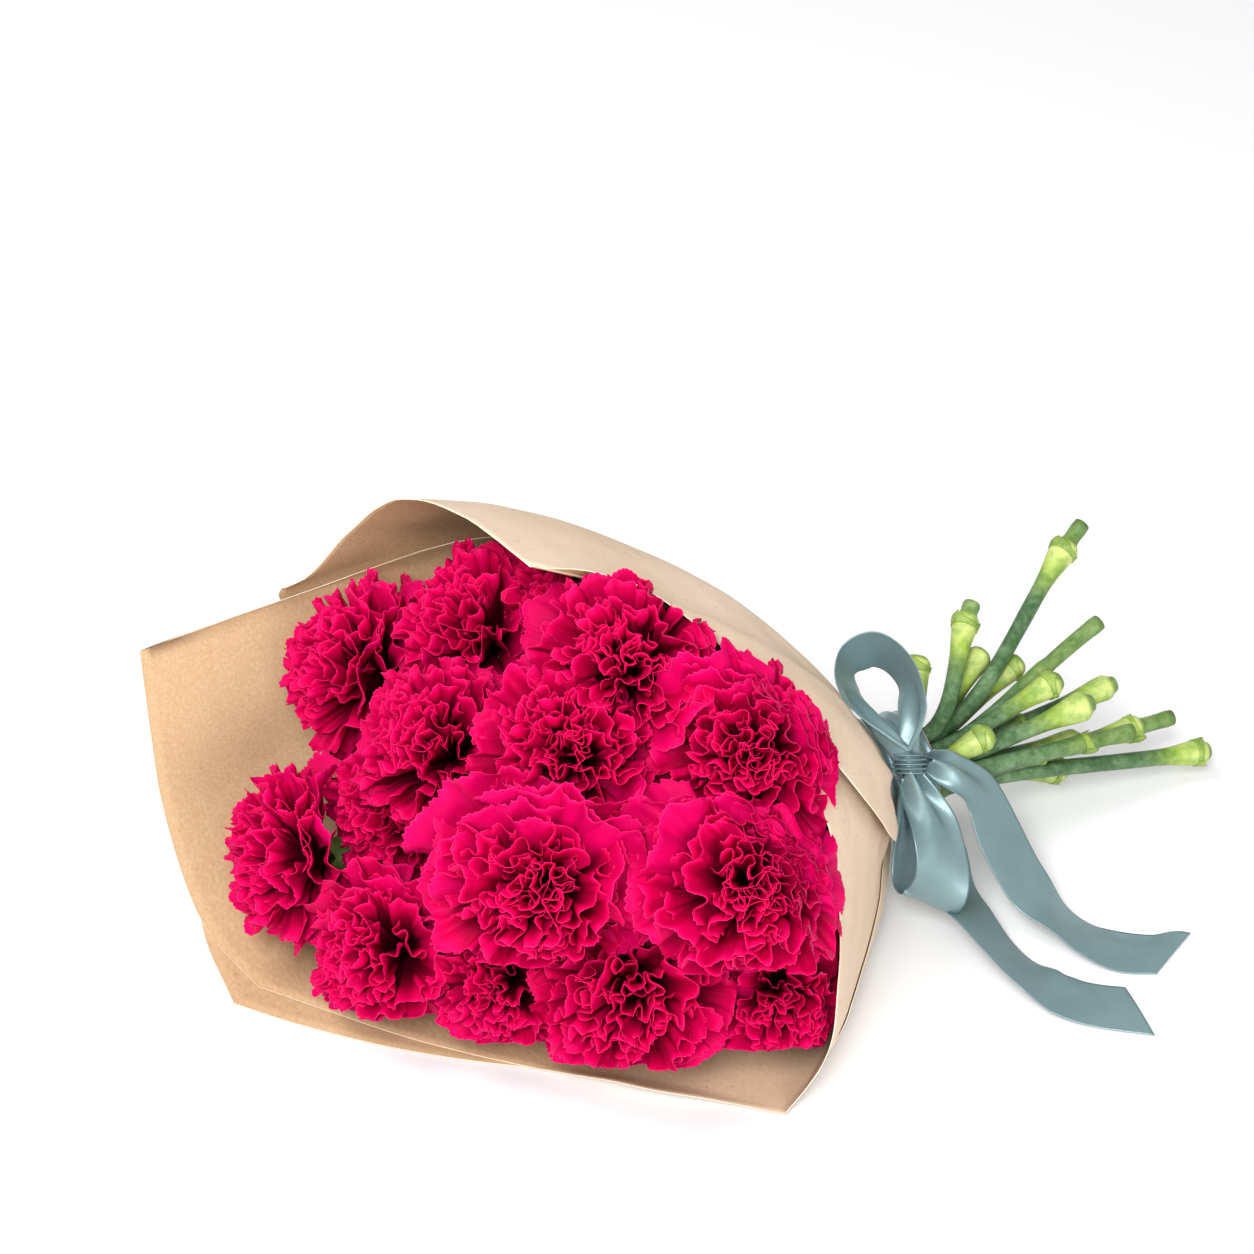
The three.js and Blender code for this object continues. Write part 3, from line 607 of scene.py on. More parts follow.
@dataclass(frozen=True)
class StemFinish:
    """Waxy grey-green stems, yellow-green at the joints and the calyx, pale at the cut."""

    waxy: tuple = rgb(104, 134, 94)
    deep: tuple = rgb(58, 92, 54)
    joint: tuple = rgb(150, 172, 64)
    pale: tuple = rgb(200, 208, 128)
    cut: tuple = rgb(186, 202, 146)
    mottle: tuple = rgb(176, 204, 160)
    wax: tuple = rgb(190, 208, 186)

    def material(self) -> Material:
        """The finish as a material.

        Returns:
            The material.
        """
        bench = FinishBench("stem_green")
        nodes, mix, ease = bench.nodes, bench.nodes.mix, bench.nodes.ease
        flat = bench.flat()
        base = bench.patches(60.0, self.waxy, self.deep)
        streak = bench.grain(flat, (26.0, 30.0, 1.0), 1.0, 0.3)
        colour = mix(ease(streak, 0.45, 1.0, 0.0, 0.4), base, self.deep)
        joint = nodes.attribute("joint")
        colour = mix(ease(joint, 0.05, 0.7), colour, self.joint)
        colour = mix(ease(joint, 0.6, 1.0, 0.0, 0.75), colour, self.pale)
        colour = bench.multiply(0.9, colour, bench.patches(170.0, (1, 1, 1, 1), self.mottle))
        colour = mix(nodes.attribute("cut"), colour, self.cut)
        bloom = nodes.add("ShaderNodeTexNoise", {"Vector": bench.place, "Scale": 420.0,
                                                 "Detail": 3.0}).outputs[0]
        colour = mix(ease(bloom, 0.4, 0.8, 0.0, 0.12), colour, self.wax)
        normal = bench.bump(streak, 0.0003, 0.5)
        bench.set(Base_Color=colour, Roughness=ease(bloom, 0.3, 0.7, 0.38, 0.58), Normal=normal)
        bench.set(Specular_IOR_Level=0.4, Subsurface_Weight=0.12, Subsurface_Scale=0.003,
                  Subsurface_Radius=(0.6, 1.0, 0.3))
        return bench.material


@dataclass(frozen=True)
class SatinFinish:
    """Grey-teal satin: a soft sheen along the threads and a fine selvage at both edges."""

    body: tuple = rgb(124, 149, 151)
    shade: tuple = rgb(112, 138, 141)
    selvage: tuple = rgb(98, 122, 126)

    def material(self) -> Material:
        """The finish as a material.

        Returns:
            The material.
        """
        bench = FinishBench("satin_ribbon")
        nodes, mix, ease = bench.nodes, bench.nodes.mix, bench.nodes.ease
        flat = bench.flat()
        across = nodes.add("ShaderNodeSeparateXYZ", {0: flat}).outputs["X"]
        colour = bench.patches(30.0, self.body, self.shade)
        thread = bench.grain(flat, (190.0, 5.0, 1.0), 1.0, 0.25)
        weft = bench.grain(flat, (3.0, 260.0, 1.0), 1.0, 0.25)
        colour = mix(ease(thread, 0.5, 1.0, 0.0, 0.22), colour, self.selvage)
        middle = nodes.math("ABSOLUTE", nodes.math("SUBTRACT", across, 0.5))
        border = ease(middle, 0.462, 0.478)
        colour = mix(nodes.math("MULTIPLY", border, 0.45), colour, self.selvage)
        height = nodes.math("ADD", thread, weft)
        height = nodes.math("ADD", height, nodes.math("MULTIPLY", border, 1.4))
        normal = bench.bump(height, 0.0001, 0.5)
        bench.set(Base_Color=colour, Roughness=ease(thread, 0.0, 1.0, 0.3, 0.38), Normal=normal)
        bench.set(Metallic=0.4, Specular_IOR_Level=0.7, Anisotropic=0.4)
        tangent = nodes.add("ShaderNodeTangent", direction_type="UV_MAP", uv_map="flat")
        bench.set(Tangent=tangent.outputs[0])
        return bench.material


@dataclass(frozen=True)
class FloorFinish:
    """A plain pale studio floor."""

    tint: tuple = rgb(226, 226, 227)
    glow: float = 0.08

    def material(self) -> Material:
        """The finish as a material.

        Returns:
            The material.
        """
        bench = FinishBench("studio_floor")
        bench.set(Base_Color=self.tint, Roughness=0.9, Specular_IOR_Level=0.1)
        bench.set(Emission_Color=self.tint, Emission_Strength=self.glow)
        return bench.material


# ---- the paper's rolled surface
@dataclass
class RolledPaper:
    """Where the rolled paper lies.

    Rays leave the tie at an angle (0 down, 90 towards the bow, 180 up) and end at a rim point, bowed out
    by a bulge. Each sheet covers a share of every ray.
    """

    waist_radius: float = 21.0  # Radius of the bunch in the tie
    waist_half_length: float = 10.0  # Half the length of the straight stretch in the tie
    lip_length: float = 2.0  # Length of the lip behind the tie
    lip_flare: float = 0.4  # How far the lip opens
    lowest: float = 1.6  # Height of the surface where it rests on the ground
    inner_span: tuple = (-160.0, 160.0)  # First and last angle of the inner sheet
    outer_span: tuple = (-284.0, 60.0)  # First and last angle of the outer sheet
    # Angle, rim X, Y, Z, bulge, inner share, outer share, and whether the rim has a corner there.
    rays: tuple = (
        (-180, -150, 36, 176, 14, 0.0, 1.0, 1), (-170, -157, 72, 173, 18, 0.0, 1.0, 0),
        (-160, -166, 104, 165, 25, 0.05, 1.0, 0), (-148, -175, 130, 148, 34, 0.25, 1.0, 0),
        (-136, -187, 145, 124, 42, 0.55, 1.0, 0), (-125, -210, 152, 100, 48, 0.86, 0.98, 0),
        (-115, -277, 157, 90, 50, 1.0, 0.76, 1), (-104, -283, 132, 60, 48, 1.0, 0.86, 0),
        (-92, -286, 112, 34, 44, 1.0, 0.94, 0), (-75, -288, 70, 12, 40, 0.995, 0.995, 0),
        (-58, -288, 30, 1, 34, 0.955, 1.0, 1), (-40, -268, 8, 0.5, 30, 0.955, 1.0, 0),
        (-22, -236, -22, 0.5, 30, 0.97, 1.0, 0), (0, -193, -54, 1, 30, 1.0, 0.995, 0),
        (18, -158, -88, 7, 30, 1.0, 0.93, 0), (32, -130, -106, 3, 26, 1.0, 0.86, 0),
        (45, -110, -121, 1, 17, 1.0, 0.78, 1), (60, -94, -121, 22, 8, 1.0, 0.7, 0),
        (75, -84, -112, 44, 3, 1.0, 0.5, 0), (92, -75, -97, 68, 2, 1.0, 0.3, 0),
        (110, -70, -80, 94, 4, 1.0, 0.52, 0), (128, -70, -60, 114, 6, 1.0, 0.78, 0),
        (145, -80, -32, 136, 9, 0.8, 0.93, 0), (160, -105, 8, 164, 12, 0.3, 1.0, 0),
        (170, -130, 26, 173, 13, 0.0, 1.0, 0), (180, -150, 36, 176, 14, 0.0, 1.0, 1),
    )

    def __post_init__(self) -> None:
        """Works out the slopes between the rays; a corner of the rim has one on each side."""
        self.table = np.array(self.rays, float)
        angles, values, corners = self.table[:, 0], self.table[:, 1:7], self.table[:, 7] > 0
        count = len(angles)
        self.slope_after = np.zeros_like(values)
        self.slope_before = np.zeros_like(values)
        for i in range(count):
            for slopes, side in ((self.slope_after, 1), (self.slope_before, -1)):
                low = i - 1 if i > 0 and not (corners[i] and side > 0) else i
                high = i + 1 if i < count - 1 and not (corners[i] and side < 0) else i
                if high > low:
                    slopes[i] = (values[high] - values[low]) / (angles[high] - angles[low])

    def values(self, angles: np.ndarray) -> np.ndarray:
        """Values between the rays.

        Args:
            angles: Angles in degrees.

        Returns:
            Rim X, Y, Z, bulge, inner share and outer share at each angle.
        """
        wrapped = (np.asarray(angles, float) + 180.0) % 360.0 - 180.0
        low = np.clip(np.searchsorted(self.table[:, 0], wrapped, side="right") - 1, 0, len(self.table) - 2)
        start, end = self.table[low], self.table[low + 1]
        span = (end[..., 0] - start[..., 0])[..., None]
        t = ((wrapped - start[..., 0]) / span[..., 0])[..., None]
        return ((2 * t ** 3 - 3 * t ** 2 + 1) * start[..., 1:7]
                + (t ** 3 - 2 * t ** 2 + t) * self.slope_after[low] * span
                + (3 * t ** 2 - 2 * t ** 3) * end[..., 1:7]
                + (t ** 3 - t ** 2) * self.slope_before[low + 1] * span)

    @staticmethod
    def outward(angles: np.ndarray) -> np.ndarray:
        """Direction away from the tie's axis at each angle."""
        turn = np.radians(angles)
        return np.stack([np.zeros_like(turn), -np.sin(turn), -np.cos(turn)], axis=-1)

    def bare(self, angles: np.ndarray, share: np.ndarray) -> np.ndarray:
        """Points on the surface itself.

        Args:
            angles: Angles of the rays.
            share: Shares of the rays.

        Returns:
            The points.
        """
        outward = self.outward(angles)
        start = TIE_CENTRE - [self.waist_half_length, 0, 0] + self.waist_radius * outward
        row = self.values(angles)
        share = np.asarray(share, float)[..., None]
        along = np.maximum(share, 0.0)
        # The bulge is one at its highest, a little nearer to the tie than to the rim.
        bow = along ** 0.75 * (1.0 - along) / 0.3026
        return start + (row[..., :3] - start) * share + outward * row[..., 3:4] * bow

    def point(self, angles: np.ndarray, share: np.ndarray, offset: float,
              lift: np.ndarray | float = 0.0) -> np.ndarray:
        """Points of a sheet.

        Args:
            angles: Angles of the rays.
            share: Shares of the rays.
            offset: How far outward the sheet's face lies; it also sets how close to the ground it gets.
            lift: How far the sheet stands off there.

        Returns:
            The points, kept above the ground.
        """
        across = self.bare(angles + 0.5, share) - self.bare(angles - 0.5, share)
        along = self.bare(angles, share + 0.01) - self.bare(angles, np.maximum(share - 0.01, 0.0))
        normal = unit(np.cross(across, along))
        facing = np.sum(normal * self.outward(angles), axis=-1, keepdims=True)
        normal = np.where(facing < 0, -normal, normal)
        points = self.bare(angles, share) + normal * (offset + np.asarray(lift, float))[..., None]
        points[..., 2] = np.maximum(points[..., 2], self.lowest - offset)
        return points

    def waist(self, angles: np.ndarray, x: np.ndarray, offset: float) -> np.ndarray:
        """Points of a sheet where it runs straight through the tie and into its lip.

        Args:
            angles: Angles round the tie.
            x: Places along the tie.
            offset: How far outward the sheet's face lies.

        Returns:
            The points.
        """
        flare = self.lip_flare * np.maximum(0.0, (x - self.waist_half_length) / self.lip_length)
        radius = self.waist_radius + flare + offset
        axis = np.stack([x, np.zeros_like(x), np.full_like(x, TIE_CENTRE[2])], axis=-1)
        return axis + self.outward(angles) * radius[..., None]


@dataclass
class PaperWrap:
    """The two kraft sheets round the bunch."""

    paper: RolledPaper  # The rolled surface that both follow
    finish: KraftFinish = KraftFinish()  # Their finish
    thickness: float = 0.35  # Thickness of one sheet
    outer_face: float = 0.8  # How far the outer sheet lies outside the inner one
    step: float = 2.0  # Widest angle between two columns of points, in degrees
    rows: int = 60  # Rows of points from the tie to the rim
    pleat_height: float = 1.1  # Height of the pleats at the tie
    dent_height: float = 0.55  # Height of the soft dents
    far_lift: float = 4.0  # How far the outer sheet stands off at the far side
    flap_lift: float = 1.5  # The same at the flap over the heads
    near_lift: float = 0.1  # The same at the near side
    flap_fade: tuple = (-287.0, -262.0)  # Angles over which the flap's loose edge runs down to the tie

    def angles(self, span: tuple[float, float]) -> np.ndarray:
        """Columns of a sheet, with one at every corner of the rim.

        Args:
            span: First and last angle of the sheet.

        Returns:
            The angles of its columns.
        """
        marks = {*span}
        for turn in (-360.0, 0.0):
            marks.update(a + turn for a in self.paper.table[:, 0] if span[0] < a + turn < span[1])
        marks = sorted(marks)
        columns = [marks[0]]
        for low, high in zip(marks[:-1], marks[1:]):
            parts = max(1, math.ceil((high - low) / self.step))
            columns.extend(low + (high - low) * (k + 1) / parts for k in range(parts))
        return np.array(columns)

    def relief(self, angles: np.ndarray, share: np.ndarray) -> np.ndarray:
        """Pleats that fan out of the tie and soft dents further out.

        Args:
            angles: Angles of the rays.
            share: Shares of the rays.

        Returns:
            How far the sheet stands out there.
        """
        turn = np.radians(angles)
        pleats = np.sin(9 * turn + 0.7 * np.sin(2 * turn)) + 0.6 * np.sin(14 * turn + 1.3)
        pleats = pleats + 0.4 * np.sin(23 * turn)
        near = smoothstep(share, 0.0, 0.05) * (1 - smoothstep(share, 0.08, 0.5))
        spots = self.paper.bare(angles, share)
        dents = SmoothNoise(5, 62.0).at(spots) + 0.5 * SmoothNoise(6, 27.0).at(spots)
        return self.pleat_height * pleats * near + self.dent_height * dents * smoothstep(share, 0.02, 0.2)

    def outer_lift(self, angles: np.ndarray, share: np.ndarray) -> np.ndarray:
        """How far the outer sheet stands off the inner one.

        Args:
            angles: Angles of the rays.
            share: Shares of the rays.

        Returns:
            The distance there.
        """
        far = self.far_lift * smoothstep(-angles, 78, 95)
        flap = self.flap_lift * smoothstep(-angles, 185, 230)
        near = self.near_lift * smoothstep(angles, 25, 50)
        return (far + flap + near) * smoothstep(share, 0.03, 0.3)

    def sheet(self, span: tuple[float, float], column: int, face: float, lifted: bool) -> Surface:
        """One sheet as a closed thin shell.

        Args:
            span: First and last angle that it covers.
            column: Which of the surface's values says how much of each ray it covers.
            face: Offset of its outer face.
            lifted: Whether it stands off by the outer sheet's lift.

        Returns:
            The sheet.
        """
        angles = self.angles(span)
        waist_rows = np.array([self.paper.waist_half_length + self.paper.lip_length, 11.0,
                               self.paper.waist_half_length, 3.0, -4.0])
        cover = self.paper.values(angles)[:, column]
        cover = np.maximum(cover * smoothstep(angles, *self.flap_fade), 0.04)
        steps = np.linspace(0, 1, self.rows) ** 1.15
        share = cover[:, None] * steps[None, :]
        turned = np.repeat(angles[:, None], self.rows, axis=1)
        relief = self.relief(turned, share)
        if lifted:
            relief = relief + self.outer_lift(turned, share)
        grids = []
        for offset in (face, face - self.thickness):
            tied = np.repeat(angles[:, None], len(waist_rows), axis=1)
            back = self.paper.waist(tied, np.broadcast_to(waist_rows, tied.shape), offset)
            grids.append(np.concatenate([back, self.paper.point(turned, share, offset, relief)], axis=1))
        return shell(grids[0], grids[1])

    def build(self) -> None:
        """Both sheets as pieces."""
        material = self.finish.material()
        for name, sheet in (("inner", self.sheet(self.paper.inner_span, 4, 0.0, False)),
                            ("outer", self.sheet(self.paper.outer_span, 5, self.outer_face, True))):
            place(sheet.mesh(f"kraft_{name}_sheet"), material, Slot.PAPER, f"paper_{name}_sheet")


# ---- carnations
class Form(Enum):
    """How far a head has opened: tight ruffles all over, full, or a small core in broad outer petals."""

    TIGHT = "tight"
    FULL = "full"
    OPEN = "open"


@dataclass(frozen=True)
class Carnation:
    """One flower."""

    name: str  # Its letter
    centre: tuple  # Middle of the head
    facing: tuple  # Where the head looks
    radius: float  # Radius of the head
    slot: tuple  # Place of its stem across the tie (Y, Z)
    end: tuple  # Cut end of its stem
    stub: float  # Length of stem beyond its last joint, at the cut end
    knob: float = 5.8  # Radius of that joint
    ragged: bool = True  # Whether torn leaf bases stand round that joint
    torn: float = 0.0  # Length of a torn strip that stands out of them
    bare_run: float = 46.0  # Length of stem from that joint to the next one
    guard: float = 0.12  # How far the outer petals stand up on the upper side of the head
    over: tuple = (400.0, 400.0)  # Angles of the paper where the head spills over it; 400 is nowhere
    form: Form = Form.FULL  # How far it has opened
    spread: float = 1.0  # How far it lies over its neighbours, against the others
    spill: float = 26.0  # How far it lies over the paper's edge
    below: float = 400.0  # How far it reaches down across the picture
    fullness: float = 1.0  # Its size against its radius

    def way(self) -> np.ndarray:
        """The facing as a vector of length one."""
        return unit(np.array(self.facing))

    def axes(self) -> np.ndarray:
        """The head's own axes as columns: upper side, sideways and facing."""
        upper = unit(WORLD_UP - self.way() * self.way()[2] + 1e-6)
        return np.stack([upper, np.cross(self.way(), upper), self.way()], axis=1)

    def mouth(self) -> np.ndarray:
        """Where the petals leave the calyx."""
        return np.array(self.centre, float) - 0.36 * self.radius * self.way()


CARNATIONS = (
    Carnation("a", (-122, 3, 148), (-0.45, -0.35, 0.82), 51, (0, 12.6), (62, 44, 82), 9,
              guard=0.2, over=(115, 240), spread=1.5, spill=13, fullness=0.92),
    Carnation("b", (-93, -47, 126), (-0.5, -0.6, 0.6), 49, (-11, 6.3), (42, -12, 60), 4,
              guard=0.42, over=(100, 200), form=Form.OPEN, spread=1.3, spill=20, fullness=0.94),
    Carnation("c", (-156, 80, 117), (-0.6, 0.1, 0.8), 43, (7.3, 0), (61, 31, 65), 3, ragged=False),
    Carnation("e", (-116, 60, 135), (-0.4, 0.3, 0.85), 40, (11, 6.3), (30, 33, 72), 3),
    Carnation("f", (-198, 110, 88), (-0.88, 0.25, 0.4), 43, (11, -6.3), (76, 24, 60), 3),
    Carnation("g", (-250, 55, 46), (-0.93, 0.15, 0.12), 41, (0, 0), (113, 21, 71), 34, knob=4.1,
              ragged=False),
    Carnation("h", (-206, 43, 62), (-0.8, -0.35, 0.5), 40, (3.6, -6.3), (115, 7, 46), 5, ragged=False,
              form=Form.TIGHT),
    Carnation("j", (-235, -6, 38), (-0.85, -0.4, 0.3), 40, (0, -12.6), (90, 2, 9), 4, guard=0.2,
              spread=1.4, below=25),
    Carnation("k", (-183, -48, 92), (-0.5, -0.62, 0.6), 50, (-7.3, 0), (94, -8, 55), 5, knob=6.5,
              ragged=False, guard=0.45, form=Form.OPEN, spread=0.8, below=32),
    Carnation("l", (-198, -44, 40), (-0.65, -0.7, 0.3), 35, (-3.6, -6.3), (94, -2, 28), 4, ragged=False,
              guard=0.35, over=(0, 30), spread=1.5, spill=0, below=23),
    Carnation("m", (-156, -76, 48), (-0.45, -0.75, 0.45), 43, (-7.3, -12.6), (152, -17, 12), 4,
              bare_run=131, guard=0.35, over=(10, 50), spread=2.2, spill=0, below=30, fullness=1.1),
    Carnation("n", (-114, -93, 103), (-0.3, -0.78, 0.55), 51, (-14.6, 0), (112, -14, 36), 22, knob=4.4,
              guard=0.45, over=(60, 135), form=Form.OPEN, spread=0.9, spill=7, below=34),
    Carnation("o", (-99, -94, 38), (-0.3, -0.88, 0.3), 38, (-11, -6.3), (138, -6, 28), 20,
              over=(20, 115), spill=0, below=22),
    Carnation("p", (-156, -12, 126), (-0.55, -0.35, 0.75), 43, (-3.6, 6.3), (84, 4, 62), 4,
              form=Form.TIGHT),
    Carnation("q", (-194, 31, 107), (-0.68, -0.1, 0.7), 41, (3.6, 6.3), (124, 58, 95), 14, knob=6.2,
              torn=6.5, bare_run=131, form=Form.TIGHT),
)


@dataclass(frozen=True)
class StemLine:
    """A stem's middle line, from its cut end."""

    points: np.ndarray  # Points along it
    ahead: np.ndarray  # Its direction at each
    side: np.ndarray  # One direction across it at each
    up: np.ndarray  # The other direction across it at each
    distances: np.ndarray  # Distance of each from the cut end


@dataclass
class StemMaker:
    """Stems with swollen joints, torn leaf bases, a cut end and the calyx."""

    paper: RolledPaper  # Says where the tie is
    finish: StemFinish = StemFinish()  # Their finish
    radius: float = 3.5  # Radius of an even run
    sides: int = 22  # Sides of the stem's rings
    cut_flare: float = 0.5  # How far a long stub widens at the cut
    calyx_length: float = 25.0  # Length of the calyx
    calyx_foot: float = 5.6  # Radius of its foot
    calyx_radius: float = 7.6  # Radius of its mouth
    teeth: int = 5  # How many teeth that has
    tooth: float = 3.2  # Their height
    collar_half: float = 0.32  # Half the thickness of a torn leaf base

    def route(self, flower: Carnation) -> np.ndarray:
        """Where a stem runs.

        Args:
            flower: The flower that it carries.

        Returns:
            Points close together from the cut end to the calyx's mouth.
        """
        slot_y, slot_z = flower.slot
        mouth = flower.mouth()
        base = mouth - self.calyx_length * flower.way()
        reach = self.paper.waist_half_length + 2
        inlet = np.array([reach, slot_y, TIE_CENTRE[2] + slot_z])
        outlet = inlet - [2 * reach, 0, 0]
        end = np.array(flower.end, float)
        tail_reach = 0.3 * np.linalg.norm(end - inlet)
        head_reach = 0.3 * np.linalg.norm(base - outlet)
        arcs = [
            (end, end + 0.4 * (inlet - end), inlet + [tail_reach, 0, 0], inlet),
            (inlet, inlet * 2 / 3 + outlet / 3, inlet / 3 + outlet * 2 / 3, outlet),
            (outlet, outlet - [head_reach, 0, 0], base - 0.6 * head_reach * flower.way(), base),
            (base, base * 2 / 3 + mouth / 3, base / 3 + mouth * 2 / 3, mouth),
        ]
        t = np.linspace(0, 1, 120)[:, None]
        line = [end[None]]
        for a, b, c, d in arcs:
            arc = (1 - t) ** 3 * a + 3 * t * (1 - t) ** 2 * b + 3 * t ** 2 * (1 - t) * c + t ** 3 * d
            line.append(arc[1:])
        return np.vstack(line)

    def joints(self, flower: Carnation, length: float, tail: float, random: np.random.Generator) -> list:
        """Where the joints are.

        Args:
            flower: The flower that the stem carries.
            length: Length of the stem.
            tail: Length of its part behind the tie.
            random: Draws their places.

        Returns:
            Distance from the cut end, swelling and colour of each, the last joint first.
        """
        joints = [(flower.stub, flower.knob - self.radius, 1.0 if flower.knob > 5 else 0.35)]
        at = flower.stub + flower.bare_run
        while at < length - self.calyx_length - 30:
            if at < 0.42 * tail or at > 130:
                joints.append((at + random.uniform(-4, 4), 0.7 if at < 110 else 1.4, 0.3))
            at += random.uniform(48, 62)
        return joints

    def profile(self, flower: Carnation, line: StemLine, length: float, joints: list) -> tuple:
        """How thick and how yellow-green a stem is along its line.

        Args:
            flower: The flower that it carries.
            line: Its middle line.
            length: Its length.
            joints: Its joints.

        Returns:
            The radius, the colour, and the share of the calyx at each point.
        """
        distances = line.distances
        radius = np.full_like(distances, self.radius)
        colour = np.zeros_like(distances)
        for at, swell, tone in joints:
            past = distances - at
            # The joint is steep towards the cut and runs out slowly towards the head.
            steep, gentle, tint = (2.6, 13.0, 21.0) if at == flower.stub else (3.0, 6.5, 10.0)
            shape = np.where(past < 0, np.exp(-(past / steep) ** 2), np.exp(-(past / gentle) ** 2))
            radius += swell * shape
            colour = np.maximum(colour, tone * np.where(past < 0, shape, np.exp(-(past / tint) ** 2)))
        colour = np.maximum(colour, 0.3 * (distances < flower.stub))
        radius += self.cut_flare * np.exp(-(distances / 5.0) ** 2) * (flower.stub > 6)
        into = distances - (length - self.calyx_length)
        calyx = smoothstep(into, -3, 5)
        widening = (self.calyx_radius - self.calyx_foot) * smoothstep(into, 2, self.calyx_length)
        radius = radius * (1 - calyx) + calyx * (self.calyx_foot + widening)
        return radius, np.maximum(colour * (1 - calyx), 0.34 * calyx), calyx

    def build(self, flower: Carnation, material: Material) -> None:
        """One stem as a piece.

        Args:
            flower: The flower that it carries.
            material: Its finish.
        """
        random = np.random.default_rng(ord(flower.name) * 31)
        route = self.route(flower)
        sums = run(route)
        length = sums[-1]
        tail = length - np.linalg.norm(route[-1] - route[len(route) // 2])
        joints = self.joints(flower, length, tail, random)
        distances = np.unique(np.concatenate([
            np.linspace(0, length, int(length / 3.2)),
            *[np.clip(at + np.linspace(-8, 16, 22), 0, length) for at, _, _ in joints],
            length - np.linspace(0, self.calyx_length + 3, 14),
        ]).round(2))
        distances = distances[(distances >= 0) & (distances <= length)]
        points = np.stack([np.interp(distances, sums, route[:, k]) for k in range(3)], axis=1)
        ahead = unit(np.gradient(points, distances, axis=0))
        side = unit(np.cross(WORLD_UP, ahead))
        line = StemLine(points, ahead, side, np.cross(ahead, side), distances)
        radius, colour, calyx = self.profile(flower, line, length, joints)
        turn = np.linspace(0, 2 * math.pi, self.sides, endpoint=False)
        ribs = 1 + 0.02 * np.cos(self.teeth * turn)[None, :] * calyx[:, None]
        wobble = SmoothNoise(ord(flower.name), 34.0).at(points)[:, None] * 0.12
        reach = (radius[:, None] + wobble) * ribs
        rings = (points[:, None] + side[:, None] * (reach * np.cos(turn))[..., None]
                 + line.up[:, None] * (reach * np.sin(turn))[..., None])
        # Teeth of the calyx, then its inner wall.
        tooth = self.tooth * np.abs(np.cos(0.5 * self.teeth * turn)) ** 1.5
        round_end = side[-1] * np.cos(turn)[:, None] + line.up[-1] * np.sin(turn)[:, None]
        mouth = [points[-1] + ahead[-1] * (rise * tooth)[:, None] + round_end * (self.calyx_radius * share)
                 for rise, share in ((0.5, 1.04), (1.0, 1.07), (0.9, 0.98), (0.0, 0.86))]
        # The cut end has a small bevel and a slightly sunk face.
        rings[0] = points[0] + (rings[0] - points[0]) * 0.9
        sunk = points[0] + (rings[0] - points[0]) * 0.72 + ahead[0] * 0.25
        rings = np.concatenate([sunk[None], rings, np.array(mouth)])
        colour = np.concatenate([colour[:1], colour, np.full(len(mouth), 0.5)])
        along = np.concatenate([[0.0], distances, np.full(len(mouth), length)]) * MILLIMETRE
        body = tube(rings, points[0] + ahead[0] * 0.3, points[-1] - ahead[-1] * 3.0)
        cut = np.zeros(len(body.points))
        cut[:1 + self.sides] = 1.0
        cut[0] = 0.7
        colour = np.concatenate([[colour[0]], np.repeat(colour, self.sides), [0.4]])
        body.point_values = {"joint": colour, "cut": cut}
        around = np.abs(np.linspace(-1, 1, self.sides, endpoint=False))
        flat = np.stack([np.tile(around, len(rings)), np.repeat(along, self.sides)], axis=1)
        body.flat = np.vstack([[0.5, 0.0], flat, [0.5, length * MILLIMETRE]])
        if flower.ragged:
            body = body.joined(self.leaf_base(flower, line, random))
        for at, _, _ in joints[1:]:
            if 12 < at < 110 and at < 0.36 * length:
                body = body.joined(self.scar(at, line, random))
        mesh = body.mesh(f"carnation_{flower.name}_stem")
        place(mesh, material, Slot.STEM, f"stem_{flower.name}")

    def collar(self, line: StemLine, at: float, low: float, high: np.ndarray, radii: tuple) -> Surface:
        """A ragged thin collar round a stem.

        Args:
            line: The stem's middle line.
            at: Distance of the collar from the cut end.
            low: Where it starts from there, towards the cut end.
            high: Where each of its columns ends.
            radii: Radius at its foot, middle and rim.

        Returns:
            The collar.
        """
        index = int(np.argmin(np.abs(line.distances - at)))
        turn = np.linspace(0, 2 * math.pi, len(high))
        out = line.side[index] * np.cos(turn)[:, None] + line.up[index] * np.sin(turn)[:, None]
        shares = np.linspace(0, 1, 5)
        grids = []
        for half in (self.collar_half, -self.collar_half):
            rows = []
            for share in shares:
                reach = np.interp(share, [0, 0.5, 1], radii) + half * (1 - 0.7 * share)
                ahead = low + (high - low) * share
                rows.append(line.points[index] - line.ahead[index] * ahead[:, None] + out * reach)
            grids.append(np.stack(rows, axis=1))
        flat = np.stack(np.meshgrid(np.linspace(0, 1, len(high)), 0.01 * shares, indexing="ij"), -1)
        collar = shell(grids[0], grids[1], flat)
        collar.face_values = {}
        collar.point_values = {"joint": np.full(len(collar.points), 0.5)}
        return collar

    def leaf_base(self, flower: Carnation, line: StemLine, random: np.random.Generator) -> Surface:
        """Torn leaf bases round the last joint, standing towards the cut end.

        Args:
            flower: The flower that the stem carries.
            line: The stem's middle line.
            random: Draws the tears.

        Returns:
            The leaf bases.
        """
        turn = np.linspace(0, 2 * math.pi, 29)
        lean = random.uniform(0, 2 * math.pi)
        flaps = np.abs(np.cos(turn - lean)) ** 3
        high = 0.4 + 4.4 * flaps * random.uniform(0.55, 1.1, len(turn))
        high += flower.torn * np.exp(-((turn - 4.2) / 0.35) ** 2)
        high[-1] = high[0]
        radii = (flower.knob - 0.1, flower.knob + 0.25, flower.knob + 0.7)
        return self.collar(line, flower.stub + 2.0, -1.5, high, radii)

